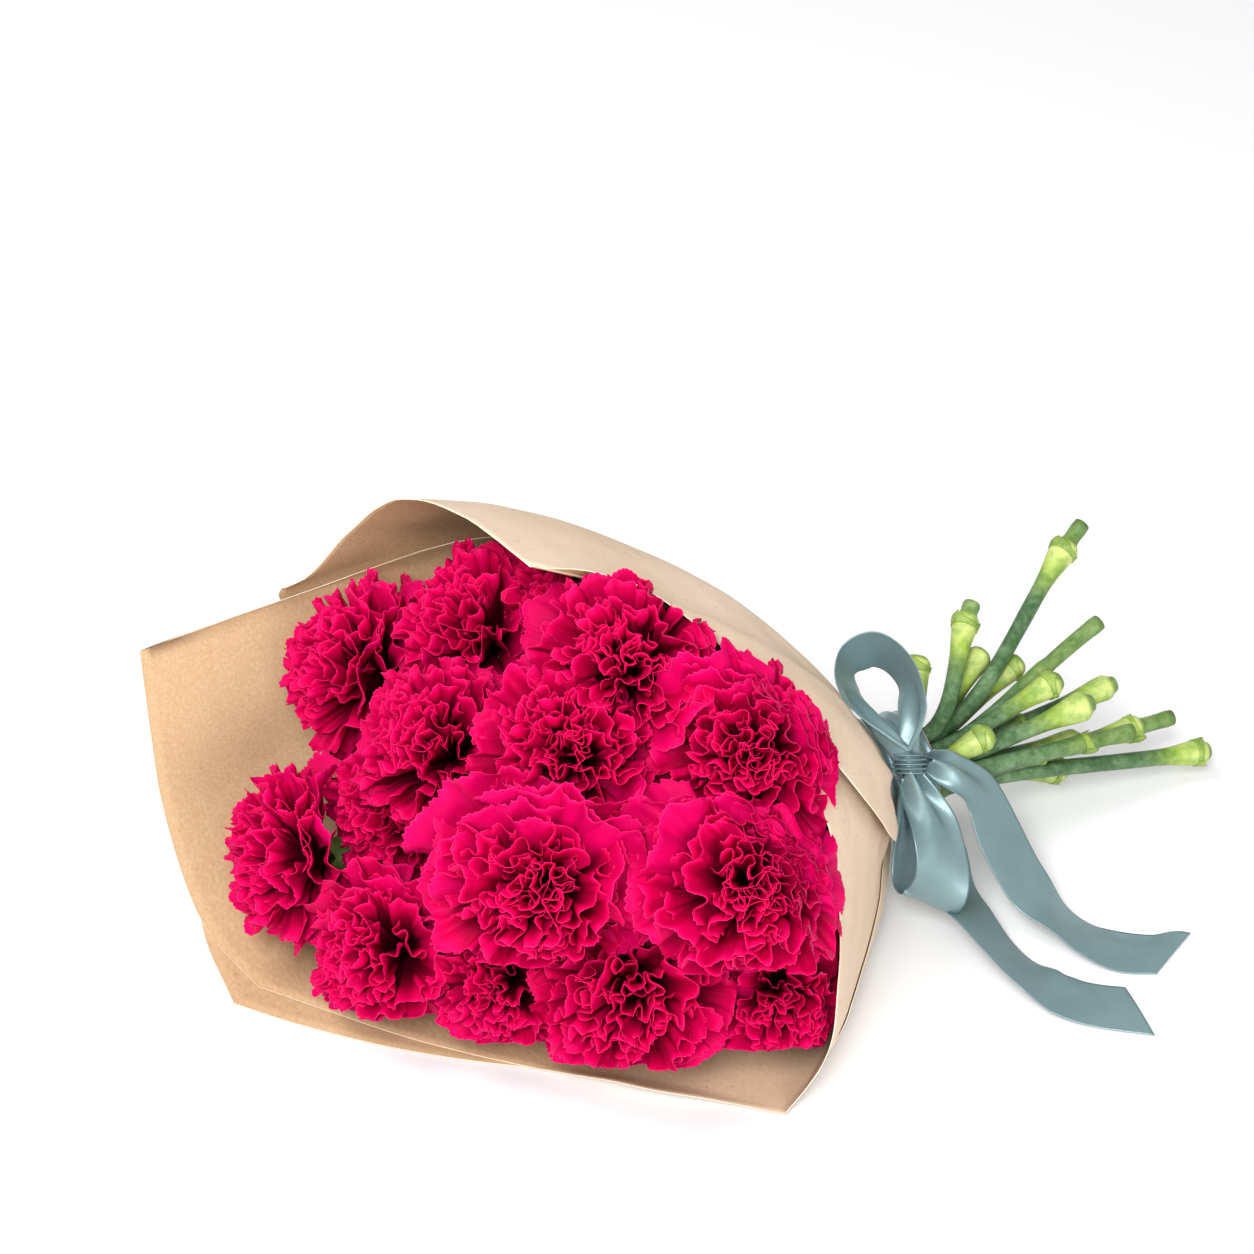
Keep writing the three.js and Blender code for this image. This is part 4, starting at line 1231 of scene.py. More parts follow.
    def scar(self, at: float, line: StemLine, random: np.random.Generator) -> Surface:
        """The low ring that a stripped leaf pair leaves at a joint.

        Args:
            at: Distance of the joint from the cut end.
            line: The stem's middle line.
            random: Draws the tears.

        Returns:
            The ring.
        """
        high = 0.9 + random.uniform(-0.25, 0.5, 23)
        high[-1] = high[0]
        knob = self.radius + 0.75
        return self.collar(line, at, -0.8, high, (knob, knob + 0.2, knob + 0.25))


# ---- petals
@dataclass(frozen=True)
class PetalCut:
    """One petal, laid out as a fan with a notched rim and then folded.

    Its foot is at the origin, it stands along +Z, its width runs along Y and its outer face looks along +X.
    """

    name: str  # Name of the petal's mesh
    length: float  # From the foot to the rim
    half_fan: float  # Half the angle of the fan, in degrees
    folds: float  # Waves of folding across the rim
    fold_depth: float  # Height of those waves
    overhang: float  # How far the folds lean over each other
    curl: float  # How far the rim leans outward
    cup: float  # How far the sides bend outward
    notch: float  # Depth of the rim's teeth, as a share of the length
    seed: int  # Picks this petal's own shape
    columns: int = 40  # Points across it
    rows: int = 9  # Points along it
    thickness: float = 0.34  # Thickness at its foot

    def middle(self, u: np.ndarray, v: np.ndarray) -> np.ndarray:
        """The petal's mid surface.

        Args:
            u: Shares across, from -1 to 1.
            v: Shares along, from 0 to 1.

        Returns:
            The points.
        """
        random = np.random.default_rng(self.seed)
        phase, second, third, drift = random.uniform(0, 2 * math.pi, 4)
        rim = np.array([random.uniform(0.0, 1.0) for _ in range(self.columns)])
        rim[::2] *= 0.25
        index = np.clip(((u[:, 0] + 1) / 2 * (self.columns - 1)).round().astype(int), 0, self.columns - 1)
        tooth = self.notch * rim[index][:, None] * v ** 14
        lobe = 0.035 * (1 - np.cos(math.pi * (2.3 * u + second))) * v ** 3
        corner = 0.16 * np.abs(u) ** 3.2 * v ** 2
        radius = self.length * v * (1 - tooth - lobe - corner)
        angle = np.radians(self.half_fan) * u * (0.75 + 0.25 * v)
        ease = smoothstep(v, 0.15, 1.0) ** 1.25
        wave = math.pi * self.folds * u + phase + 0.7 * np.sin(1.7 * math.pi * u + second)
        wave = wave + 0.5 * (1 - v) * math.sin(drift)
        depth = self.fold_depth * ease * (np.sin(wave) + 0.28 * np.sin(2.2 * wave + third))
        lateral = radius * np.sin(angle) - self.overhang * ease * np.sin(2 * wave + 0.3)
        height = radius * np.cos(angle)
        lean = self.curl * ease ** 2.2 * (1 + 0.35 * np.sin(2.1 * u + third)) + self.cup * u ** 2 * ease
        tilt = 0.35 * np.clip(lean / self.length, -1, 1)
        crumple = SmoothNoise(self.seed + 77, 13.0)
        spots = np.stack([lateral, height, depth], axis=-1)
        ripple = 1.4 * ease * crumple.at(spots)
        return np.stack([depth + lean + ripple, lateral, height - np.abs(lean) * tilt], axis=-1)

    def build(self, collection: Collection, material: Material) -> Object:
        """The petal as an object that the tree places many times.

        Args:
            collection: Where it goes.
            material: Its finish.

        Returns:
            The object.
        """
        u = np.linspace(-1, 1, self.columns)[:, None] * np.ones(self.rows)
        spacing = np.linspace(0, 1, self.rows) ** 0.72
        v = np.ones(self.columns)[:, None] * (0.04 + 0.96 * spacing)
        middle = self.middle(u, v)
        across = np.gradient(middle, axis=0)
        along = np.gradient(middle, axis=1)
        normal = unit(np.cross(along, across))
        half = 0.5 * self.thickness * (1 - 0.55 * v ** 3)[..., None]
        flat = np.stack([(u + 1) / 2, v], axis=-1)
        surface = shell(middle + normal * half, middle - normal * half, flat)
        surface.face_values = {}
        mesh = surface.mesh(self.name, metres=False)
        mesh.transform(Matrix.Scale(MILLIMETRE, 4))
        mesh.materials.append(material)
        petal = bpy.data.objects.new(self.name, mesh)
        collection.objects.link(petal)
        return petal


class PetalLayerTree:
    """The node tree that sets one layer of petals on a head's dome, from one foot."""

    def __init__(self) -> None:
        """Builds the tree once."""
        self.tree = bpy.data.node_groups.new("Petal Layer", "GeometryNodeTree")
        self.tree.is_modifier = True
        face = self.tree.interface
        face.new_socket("Geometry", in_out="INPUT", socket_type="NodeSocketGeometry")
        for name, kind in {
            "Petals": "NodeSocketCollection", "Finish": "NodeSocketMaterial",
            **dict.fromkeys(("Cuts", "Count", "Seed", "First Number"), "NodeSocketInt"),
            **dict.fromkeys(("First Tilt", "Last Tilt", "Tilt Spread", "Roll Spread", "Reach Across",
                             "Reach Up", "Foot Depth", "Petal Length", "Lean", "Tone Low", "Tone High",
                             "Arc"), "NodeSocketFloat"),
        }.items():
            face.new_socket(name, in_out="INPUT", socket_type=kind)
        face.new_socket("Geometry", in_out="OUTPUT", socket_type="NodeSocketGeometry")
        self._lay_out()

    def _lay_out(self) -> None:
        """Adds the nodes: aim each petal from the foot, size it to the dome, place it and mark it."""
        nodes = NodeSheet(self.tree)
        plus, minus, times, over, power = (
            partial(nodes.math, name) for name in ("ADD", "SUBTRACT", "MULTIPLY", "DIVIDE", "POWER"))
        inside = nodes.add("NodeGroupInput").outputs
        seed, depth = inside["Seed"], inside["Foot Depth"]
        index = nodes.add("GeometryNodeInputIndex").outputs[0]
        share = nodes.math("SQRT", over(plus(index, 0.5), inside["Count"]))
        tilt = plus(inside["First Tilt"], times(minus(inside["Last Tilt"], inside["First Tilt"]), share))
        spread = inside["Tilt Spread"]
        tilt = plus(tilt, nodes.random(times(spread, -1.0), spread, seed, 1.0))
        turn = nodes.math("FRACT", times(plus(index, 0.5), GOLDEN_SHARE))
        azimuth = plus(times(minus(turn, 0.5), inside["Arc"]), nodes.random(-0.25, 0.25, seed, 2.0))
        lean = times(inside["Lean"], nodes.math("COSINE", azimuth))
        tilt = minus(tilt, times(lean, tilt))
        # Distance from the foot to the dome in that direction: the larger root of a square equation.
        sine, cosine = nodes.math("SINE", tilt), nodes.math("COSINE", tilt)
        up_square = power(inside["Reach Up"], 2.0)
        a = plus(power(over(sine, inside["Reach Across"]), 2.0),
                 power(over(cosine, inside["Reach Up"]), 2.0))
        b = over(times(times(depth, cosine), -2.0), up_square)
        c = minus(over(power(depth, 2.0), up_square), 1.0)
        root = nodes.math("SQRT", minus(times(b, b), times(times(a, c), 4.0)))
        size = over(over(minus(root, b), times(a, 2.0)), inside["Petal Length"])
        size = times(size, nodes.random(0.89, 1.06, seed, 3.0))
        size = times(size, plus(1.0, times(lean, 0.35)))
        roll = nodes.random(times(inside["Roll Spread"], -1.0), inside["Roll Spread"], seed, 4.0)
        aimed, rolled = (
            nodes.add("FunctionNodeEulerToRotation", {
                0: nodes.add("ShaderNodeCombineXYZ", angles).outputs[0]}).outputs[0]
            for angles in ({1: tilt, 2: azimuth}, {2: roll})
        )
        turned = nodes.add("FunctionNodeRotateRotation", {0: aimed, 1: rolled}, rotation_space="LOCAL")
        foot = nodes.add("ShaderNodeCombineXYZ", {2: times(depth, -1.0)}).outputs[0]
        spots = nodes.add("GeometryNodePoints", {"Count": inside["Count"], "Position": foot}).outputs[0]
        cuts = nodes.add("GeometryNodeCollectionInfo", {
            "Collection": inside["Petals"], "Separate Children": True, "Reset Children": True,
        }).outputs[0]
        last = minus(inside["Cuts"], 1.0)
        pick = nodes.add("FunctionNodeRandomValue", {4: 0, 5: last, 8: seed}, data_type="INT").outputs[2]
        placed = nodes.add("GeometryNodeInstanceOnPoints", {
            "Points": spots, "Instance": cuts, "Pick Instance": True, "Instance Index": pick,
            "Rotation": turned.outputs[0], "Scale": size,
        }).outputs[0]
        tone = nodes.random(inside["Tone Low"], inside["Tone High"], seed, 5.0)
        number = plus(index, inside["First Number"])
        for name, value in (("tone", tone), ("petal", number)):
            placed = nodes.add("GeometryNodeStoreNamedAttribute",
                               {"Geometry": placed, "Name": name, "Value": value},
                               data_type="FLOAT", domain="INSTANCE").outputs[0]
        both = nodes.add("GeometryNodeJoinGeometry")
        self.tree.links.new(placed, both.inputs[0])
        self.tree.links.new(inside["Geometry"], both.inputs[0])
        real = nodes.add("GeometryNodeRealizeInstances", {0: both.outputs[0]}).outputs[0]
        finished = nodes.add("GeometryNodeSetMaterial", {0: real, "Material": inside["Finish"]}).outputs[0]
        outside = nodes.add("NodeGroupOutput")
        self.tree.links.new(finished, outside.inputs[0])

    def apply(self, piece: Object, name: str, values: dict[str, object]) -> None:
        """Adds the tree to a piece as a modifier with its own values.

        Args:
            piece: The piece.
            name: Name of the modifier.
            values: Input name to value.
        """
        modifier = piece.modifiers.new(name, "NODES")
        modifier.node_group = self.tree
        for item in self.tree.interface.items_tree:
            if item.item_type == "SOCKET" and item.in_out == "INPUT" and item.name in values:
                modifier[item.identifier] = values[item.name]


@dataclass(frozen=True)
class Layer:
    """One layer of a head's petals."""

    cuts: str  # Which set of petal cuts it uses
    count: int  # How many petals
    tilts: tuple  # Tilt of its first and last petal from the facing, in degrees
    tilt_spread: float  # Random tilt, in degrees
    roll_spread: float  # Random turn about the petal's own axis, in degrees
    reach: float  # Reach of its petals as a share of the head's
    tones: tuple  # Lowest and highest tone
    leaning: float = 0.0  # Share of the head's guard lean that it takes
    arc: float = 360.0  # How far round the head it goes, in degrees, about the upper side


class PaperGuide:
    """Finds where points lie against the paper round the mouth of the wrap."""

    def __init__(self, paper: RolledPaper) -> None:
        """Samples the paper's surface, also past the sheets' edge.

        Args:
            paper: The rolled surface.
        """
        angles, shares = np.meshgrid(np.arange(-40.0, 230.0, 1.5), np.arange(0.2, 1.42, 0.015),
                                     indexing="ij")
        spots = paper.point(angles, shares, 0.0)
        self.normals = unit(paper.point(angles, shares, 1.0) - spots).reshape(-1, 3)
        rows = paper.values(angles)
        self.past = (shares - np.maximum(rows[..., 4], rows[..., 5])).ravel()
        self.spots = spots.reshape(-1, 3)
        self.tree = KDTree(len(self.spots))
        for index, spot in enumerate(self.spots.tolist()):
            self.tree.insert(spot, index)
        self.tree.balance()

    def against(self, points: np.ndarray, spill: float) -> tuple[np.ndarray, np.ndarray, np.ndarray]:
        """Where points lie against the paper.

        Args:
            points: The points.
            spill: How far they may lie over the sheets' edge.

        Returns:
            The paper's outward normal at each, its depth past the paper, and how deep it may lie: not
            at all where a sheet covers it, and further and further out past the sheets' edge.
        """
        nearest = np.array([self.tree.find(point)[1] for point in points.tolist()])
        normal = self.normals[nearest]
        depth = np.sum((points - self.spots[nearest]) * normal, axis=1)
        free = smoothstep(self.past[nearest], -0.012 * spill, 0.13 - 0.006 * spill)
        return normal, depth, spill * free


@dataclass
class BloomMaker:
    """Carnation heads, each a dome of layered petals pressed against its neighbours and the paper."""

    paper: RolledPaper  # The paper round them
    finish: PetalFinish = PetalFinish()  # Their finish
    nominal_length: float = 46.0  # Length of a petal before it is sized to its head
    wide: float = 0.93  # Half width of a head's dome as a share of its radius
    high: float = 0.72  # Height of the dome as a share of the radius
    foot: float = 0.36  # Depth of the petals' foot below the centre, as a share of the radius
    cell_gap: float = 0.25  # Room left between two heads' cells
    soft_start: float = 0.84  # Share of the room past which petals are pressed together
    ground: float = 2.2  # Lowest that a petal lies
    ceiling: float = 183.0  # Highest that one stands
    overlap: float = 7.0  # How far petals lie over a neighbour's cell
    guard_overlap: float = 12.0  # How much further the outer petals do
    paper_stagger: float = 2.5  # How far apart petals end at the paper
    shortest: float = 0.7  # Least size of a petal that is drawn back
    cuts_each: int = 8  # How many cuts each set of petals has
    paper_room: float = 0.9  # Gap between the petals and the paper
    paper_soft: float = 3.5  # Depth over which the paper bends petals back
    full: float = 1.02  # How much of its room a petal may take before it is drawn back
    shorten_rounds: int = 3  # How often petals are drawn back
    # Layers of a head that is ruffled all over.
    tight_layers: tuple = (
        Layer("core", 28, (2, 30), 5, 180, 0.96, (0.0, 0.3)),
        Layer("centre", 26, (24, 58), 7, 70, 1.0, (0.05, 0.45), 0.2),
        Layer("centre", 16, (52, 78), 7, 50, 1.04, (0.15, 0.6), 0.3),
        Layer("middle", 9, (58, 84), 7, 24, 1.04, (0.4, 0.9), 0.6),
    )
    # Layers of a full head.
    full_layers: tuple = (
        Layer("core", 24, (2, 28), 5, 180, 0.94, (0.0, 0.3)),
        Layer("centre", 21, (24, 52), 7, 60, 0.99, (0.05, 0.5), 0.2),
        Layer("middle", 15, (46, 68), 7, 24, 1.03, (0.3, 0.75), 0.6),
        Layer("guard", 10, (62, 84), 6, 14, 1.08, (0.65, 1.0), 1.0),
    )
    # Layers of an open head.
    open_layers: tuple = (
        Layer("core", 22, (2, 22), 4, 180, 0.9, (0.0, 0.25)),
        Layer("centre", 18, (16, 40), 5, 60, 0.95, (0.05, 0.4), 0.1),
        Layer("centre", 20, (38, 76), 7, 60, 0.98, (0.0, 0.4), 0.1),
        Layer("middle", 8, (36, 56), 6, 30, 1.02, (0.5, 0.9), 0.6, 200),
        Layer("guard", 11, (54, 80), 6, 14, 1.1, (0.75, 1.0), 1.0, 220),
    )

    def petal_cuts(self) -> dict[str, list[PetalCut]]:
        """The sets of petals that the layers choose from.

        Returns:
            The cuts of each set.
        """
        random = np.random.default_rng(2024)
        shapes = {
            # half fan, folds, fold depth, overhang, curl, cup, notch, columns, rows
            "core": ((11, 16), (1.6, 2.6), (2.0, 3.4), (0.4, 1.1), (-5, 5), (-2, 2), 0.03, 34, 8),
            "centre": ((15, 22), (1.6, 2.7), (2.0, 3.2), (0.4, 1.0), (-1, 9), (-1, 3), 0.035, 38, 9),
            "middle": ((23, 31), (1.4, 2.4), (1.5, 2.5), (0.2, 0.6), (3, 11), (0, 4), 0.04, 44, 9),
            "guard": ((31, 40), (2.0, 3.4), (1.5, 2.6), (0.1, 0.4), (2, 12), (0, 5), 0.045, 52, 11),
        }
        sets: dict[str, list[PetalCut]] = {}
        for number, (key, (*ranges, notch, columns, rows)) in enumerate(shapes.items()):
            sets[key] = [
                PetalCut(f"{key}_petal_{k}", self.nominal_length,
                         *(random.uniform(*pair) for pair in ranges),
                         notch, 100 * (number + 1) + k, columns=columns, rows=rows)
                for k in range(self.cuts_each)
            ]
        return sets

    def prepare(self) -> None:
        """Makes the material, the petal cuts and the tree."""
        self.guide = PaperGuide(self.paper)
        self.material = self.finish.material()
        self.tree = PetalLayerTree()
        self.collections = {}
        self.helpers: list[Object] = []
        for key, cuts in self.petal_cuts().items():
            collection = bpy.data.collections.new(f"{key}_petals")
            self.collections[key] = collection
            self.helpers.extend(cut.build(collection, self.material) for cut in cuts)

    def clear(self) -> None:
        """Removes the loose petals that the tree placed."""
        for petal in self.helpers:
            bpy.data.meshes.remove(petal.data)
        for collection in self.collections.values():
            bpy.data.collections.remove(collection)

    def cell(self, flower: Carnation) -> tuple[np.ndarray, np.ndarray, int]:
        """Planes that keep a head off its neighbours, the ground and the paper.

        Args:
            flower: The flower.

        Returns:
            Their normals, their distances from the head's centre and how many of them are neighbours'.
        """
        centre = np.array(flower.centre, float)
        normals, reaches = [], []
        for other in (other for other in CARNATIONS if other is not flower):
            toward = np.array(other.centre, float) - centre
            distance = np.linalg.norm(toward)
            normals.append(toward / distance)
            reaches.append(distance * flower.radius / (flower.radius + other.radius) - self.cell_gap)
        normals.extend([-WORLD_UP, WORLD_UP, PICTURE_DOWN])
        reaches.extend([centre[2] - self.ground, self.ceiling - centre[2], flower.below])
        angles, shares = np.meshgrid(np.arange(-160.0, 200.0, 7.5), np.arange(0.1, 1.31, 0.1),
                                     indexing="ij")
        free = (angles % 360.0 > flower.over[0]) & (angles % 360.0 < flower.over[1])
        inside = self.paper.point(angles, shares, -0.9)
        outside = self.paper.point(angles, shares, 0.5)
        normal = unit(outside - inside)
        offset = inside - centre
        reach = np.sum(offset * normal, axis=-1)
        near = np.linalg.norm(offset, axis=-1) < 1.5 * flower.radius
        chosen = near & (reach > 0.35 * flower.radius) & ~free
        return (np.vstack([np.array(normals), normal[chosen]]), np.concatenate([reaches, reach[chosen]]),
                len(CARNATIONS) - 1)

    def room(self, points: np.ndarray, flower: Carnation, tone: np.ndarray, own: np.ndarray) -> np.ndarray:
        """How far each point's ray from the head's centre may go.

        Args:
            points: The petals' points.
            flower: The flower.
            tone: Tone of each point's petal; the outer petals reach furthest over the neighbours.
            own: Each petal's own share of the room, so that no two end on one surface.

        Returns:
            Distances from the centre.
        """
        centre = np.array(flower.centre, float)
        normals, reaches, neighbours = self.cell(flower)
        way = unit(points - centre)
        rough = self.overlap * (1 + 0.6 * SmoothNoise(ord(flower.name) + 9, 24.0).at(points))
        rough = rough + self.guard_overlap * smoothstep(tone, 0.5, 0.8)
        rough = rough * (0.4 + 1.2 * own) * flower.spread
        short = self.paper_stagger * own
        limit = np.full(len(points), 1e9)
        for number, (normal, reach) in enumerate(zip(normals, reaches)):
            facing = way @ normal
            space = reach + (rough if number < neighbours else -short)
            np.minimum(limit, np.where(facing > 1e-3, space / np.maximum(facing, 1e-3), 1e9), out=limit)
        return limit

    def shorten(self, points: np.ndarray, flower: Carnation, tone: np.ndarray, own: np.ndarray,
                petal: np.ndarray) -> np.ndarray:
        """Draws whole petals back towards their foot where there is too little room.

        Args:
            points: The petals' points.
            flower: The flower.
            tone: Tone of each point's petal.
            own: Each petal's own share of the room.
            petal: Number of each point's petal.

        Returns:
            The points, each petal at one scale.
        """
        centre, foot = np.array(flower.centre, float), flower.mouth()
        for _ in range(self.shorten_rounds):
            crowding = np.linalg.norm(points - centre, axis=1) / self.room(points, flower, tone, own)
            if flower.over[0] < 360:
                _, depth, limit = self.guide.against(points, flower.spill)
                past = depth - (limit - self.paper_room) + self.paper_stagger * own
                crowding = np.maximum(crowding, 1 + past / flower.radius)
            far = np.linalg.norm(points - foot, axis=1)
            scale = np.ones(len(points))
            for number in np.unique(petal):
                chosen = np.flatnonzero(petal == number)
                rim = chosen[far[chosen] > 0.7 * far[chosen].max()]
                tightest = np.percentile(crowding[rim], 72)
                scale[chosen] = np.clip(self.full / max(tightest, 1e-3), self.shortest, 1.0)
            points = foot + (points - foot) * scale[:, None]
        return points

    def press(self, points: np.ndarray, flower: Carnation, tone: np.ndarray, own: np.ndarray) -> np.ndarray:
        """Presses a head softly into its cell.

        Args:
            points: The petals' points.
            flower: The flower.
            tone: Tone of each point's petal.
            own: Each petal's own share of the room.

        Returns:
            The points inside the cell.
        """
        centre = np.array(flower.centre, float)
        offset = points - centre
        distance = np.maximum(np.linalg.norm(offset, axis=1), 1e-6)
        limit = self.room(points, flower, tone, own)
        ratio = distance / limit
        rest = 1 - self.soft_start
        pressed = self.soft_start + rest * (1 - np.exp(-np.maximum(ratio - self.soft_start, 0) / rest))
        kept = np.where(ratio <= self.soft_start, distance, pressed * limit)
        return centre + offset * (kept / distance)[:, None]

    def build(self, flower: Carnation) -> None:
        """One head as a piece.

        Args:
            flower: The flower.
        """
        seed_mesh = bpy.data.meshes.new(f"carnation_{flower.name}_petals")
        piece = bpy.data.objects.new(seed_mesh.name, seed_mesh)
        bpy.context.scene.collection.objects.link(piece)
        size = flower.radius * flower.fullness * MILLIMETRE
        layers = {Form.TIGHT: self.tight_layers, Form.FULL: self.full_layers,
                  Form.OPEN: self.open_layers}[flower.form]
        for number, layer in enumerate(layers):
            self.tree.apply(piece, layer.cuts, {
                "Petals": self.collections[layer.cuts], "Finish": self.material,
                "Cuts": len(self.collections[layer.cuts].objects), "Count": layer.count,
                "Seed": ord(flower.name) * 10 + number,
                "First Tilt": math.radians(layer.tilts[0]), "Last Tilt": math.radians(layer.tilts[1]),
                "Tilt Spread": math.radians(layer.tilt_spread),
                "Roll Spread": math.radians(layer.roll_spread), "Arc": math.radians(layer.arc),
                "Reach Across": self.wide * layer.reach * size, "Reach Up": self.high * layer.reach * size,
                "Foot Depth": self.foot * size, "Petal Length": self.nominal_length * MILLIMETRE,
                "Lean": flower.guard * layer.leaning,
                "Tone Low": layer.tones[0], "Tone High": layer.tones[1],
                "First Number": sum(earlier.count for earlier in layers[:number]),
            })
        bpy.context.view_layer.update()
        graph = bpy.context.evaluated_depsgraph_get()
        mesh = bpy.data.meshes.new_from_object(piece.evaluated_get(graph), depsgraph=graph)
        bpy.data.objects.remove(piece)
        bpy.data.meshes.remove(seed_mesh)
        mesh.name = f"carnation_{flower.name}_petals"
        local = np.zeros(len(mesh.vertices) * 3, np.float32)
        mesh.vertices.foreach_get("co", local)
        local = local.reshape(-1, 3).astype(float) / MILLIMETRE
        points = np.array(flower.centre, float) + local @ flower.axes().T
        tone, petal = np.zeros(len(points), np.float32), np.zeros(len(points), np.float32)
        mesh.attributes["tone"].data.foreach_get("value", tone)
        mesh.attributes["petal"].data.foreach_get("value", petal)
        petal = petal.round().astype(int)
        own = np.random.default_rng(ord(flower.name) + 500).uniform(0, 1, petal.max() + 1)[petal]
        points = self.shorten(points, flower, tone, own, petal)
        points = self.press(points, flower, tone, own)
        if flower.over[0] < 360:
            points = self.tuck(points, own, flower.spill)
        points[:, 2] = np.maximum(points[:, 2], self.ground)
        mesh.vertices.foreach_set("co", to_metres(points).astype(np.float32).ravel())
        mesh.update()
        place(mesh, self.material, Slot.PETALS, f"petals_{flower.name}")

    def tuck(self, points: np.ndarray, own: np.ndarray, spill: float) -> np.ndarray:
        """Bends what is left of a head past the paper back to where it may lie.

        Args:
            points: The petals' points.
            own: Each petal's own share of the room.
            spill: How far they may lie over the sheets' edge.

        Returns:
            The points.
        """
        normal, depth, limit = self.guide.against(points, spill)
        limit = limit - self.paper_room - self.paper_stagger * own
        soft = self.paper_soft
        beyond = np.maximum(depth - (limit - soft), 0.0)
        kept = np.where(beyond > 0, limit - soft + soft * (1 - np.exp(-beyond / soft)), depth)
        return points + normal * (kept - depth)[:, None]


# ---- ribbon
@dataclass
class RibbonMaker:
    """The satin ribbon: band, knot, two loops and two tails, all of one width."""

    finish: SatinFinish = SatinFinish()  # Its finish
    width: float = 25.0  # Width of the ribbon
    thickness: float = 0.3  # Its thickness
    columns: int = 25  # Points across it
    step: float = 1.1  # Distance between its rows of points
    pleats: float = 1.5  # Pleats across a gathered end
    right: tuple = (0.906, -0.423, 0.0)  # The bow's own right
    up: tuple = (0.272, 0.583, 0.766)  # The bow's own up
    away: tuple = (0.324, 0.694, -0.643)  # The bow's own depth
    knot: tuple = (-3.0, -20.5, 66.5)  # Middle of the knot

    def way(self, right: float, up: float, away: float) -> np.ndarray:
        """A direction in the bow's own frame."""
        return right * np.array(self.right) + up * np.array(self.up) + away * np.array(self.away)

    def bow(self, right: float, up: float, away: float) -> np.ndarray:
        """A point in the bow's own frame."""
        return np.array(self.knot) + self.way(right, up, away)

    def in_bow(self, *rows: tuple) -> list[tuple]:
        """Stations whose place and direction are given in the bow's own frame."""
        return [(self.bow(*at), self.way(*across), share) for at, across, share in rows]

    def pleat_depth(self, share: np.ndarray, pleats: float) -> np.ndarray:
        """Depth of the pleats that take up the width where the ribbon is gathered."""
        chord = self.width * np.minimum(share, 1.0)
        return 1.03 * np.sqrt(np.maximum(self.width ** 2 - chord ** 2, 0)) / (4 * pleats)

    def strip(self, stations: list[tuple], cup: float = 0.0, cut: float = 0.0) -> Surface:
        """A strip of ribbon along its stations.

        Args:
            stations: Its middle, the direction of its width and the share of it, along its run.
            cup: How far its middle stands out of its edges.
            cut: Slant of its far end, as a length across the width.

        Returns:
            The strip, with its flat place across (0 to 1) and along (metres).
        """
        places, ways, shares = zip(*stations)
        line = Curve3(np.array(places, float))
        coarse = line.at(np.linspace(0, 1, 400))
        length = np.linalg.norm(np.diff(coarse, axis=0), axis=1).sum()
        rows = max(24, int(length / self.step))
        u = np.linspace(0, 1, rows)
        middle = line.at(u)
        tangent = unit(np.gradient(middle, axis=0))
        across = Curve3(np.array([unit(way) for way in ways])).at(u)
        across = unit(across - tangent * np.sum(across * tangent, axis=1, keepdims=True))
        normal = np.cross(tangent, across)
        share = np.interp(u, np.linspace(0, 1, len(stations)), shares)
        smooth = np.convolve(np.pad(share, 4, mode="edge"), np.ones(9) / 9, mode="valid")
        v = np.linspace(-0.5, 0.5, self.columns)
        depth = self.pleat_depth(smooth, self.pleats)
        fold = depth[:, None] * np.cos(2 * math.pi * self.pleats * v + 0.6)[None, :]
        fold += cup * (0.25 - v ** 2)[None, :] * 4 * smoothstep(smooth, 0.5, 1.0)[:, None]
        reach = self.width * smooth[:, None] * v[None, :]
        slant = cut * (v[None, :] + 0.5) * smoothstep(u, 0.6, 1.0)[:, None]
        centre = (middle[:, None] + across[:, None] * reach[..., None]
                  + tangent[:, None] * slant[..., None])
        flat = np.stack(np.broadcast_arrays((v + 0.5)[None, :], run(middle)[:, None] * MILLIMETRE), axis=-1)
        folded = centre + normal[:, None] * fold[..., None]
        folded[..., 2] = np.maximum(folded[..., 2], 0.1 + 0.5 * self.thickness)
        # The true normal of the folded surface carries the thickness.
        du, dv = np.gradient(folded, axis=0), np.gradient(folded, axis=1)
        face = unit(np.cross(du, dv))
        half = 0.5 * self.thickness
        return shell(folded + face * half, folded - face * half, flat)

    def wrap(self, centre: np.ndarray, axis: np.ndarray, first: np.ndarray, radii: tuple, share: float,
             pleats: float, turns: float = 1.04, slope: float = 0.0) -> Surface:
        """A turn of gathered ribbon round an axis, its ends lapped.

        Args:
            centre: Middle of the turn.
            axis: The axis.
            first: Direction of the first radius.
            radii: The two radii of the turn.
            share: Share of the ribbon's width that it takes.
            pleats: Pleats across it.
            turns: How far round it goes.
            slope: How far the pleats run askew along the axis.

        Returns:
            The wrap.
        """
        axis, first = unit(axis), unit(first)
        second = np.cross(axis, first)
        rows = 120
        turn = np.linspace(0, 2 * math.pi * turns, rows)
        v = np.linspace(-0.5, 0.5, self.columns * 2 - 1)
        depth = float(self.pleat_depth(np.array(share), pleats))
        lap = 0.55 * turn / (2 * math.pi)
        shift = slope * np.sin(turn)[:, None]
        wave = np.cos(2 * math.pi * pleats * v[None, :] + 0.7 * np.sin(turn)[:, None])
        rounding = 1.6 * (2 * v[None, :]) ** 4
        grids = []
        for lift in (0.5 * self.thickness, -0.5 * self.thickness):
            spread = depth * wave - rounding + lap[:, None] + lift
            out = (first * np.cos(turn)[:, None])[:, None] * (radii[0] + spread)[..., None]
            out = out + (second * np.sin(turn)[:, None])[:, None] * (radii[1] + spread)[..., None]
            along = (self.width * share * v[None, :] + shift)[..., None] * axis
            grids.append(centre + out + along)
        arc = turn * 0.5 * sum(radii) * MILLIMETRE
        flat = np.stack(np.broadcast_arrays((v + 0.5)[None, :], arc[:, None]), axis=-1)
        return shell(grids[0], grids[1], flat)

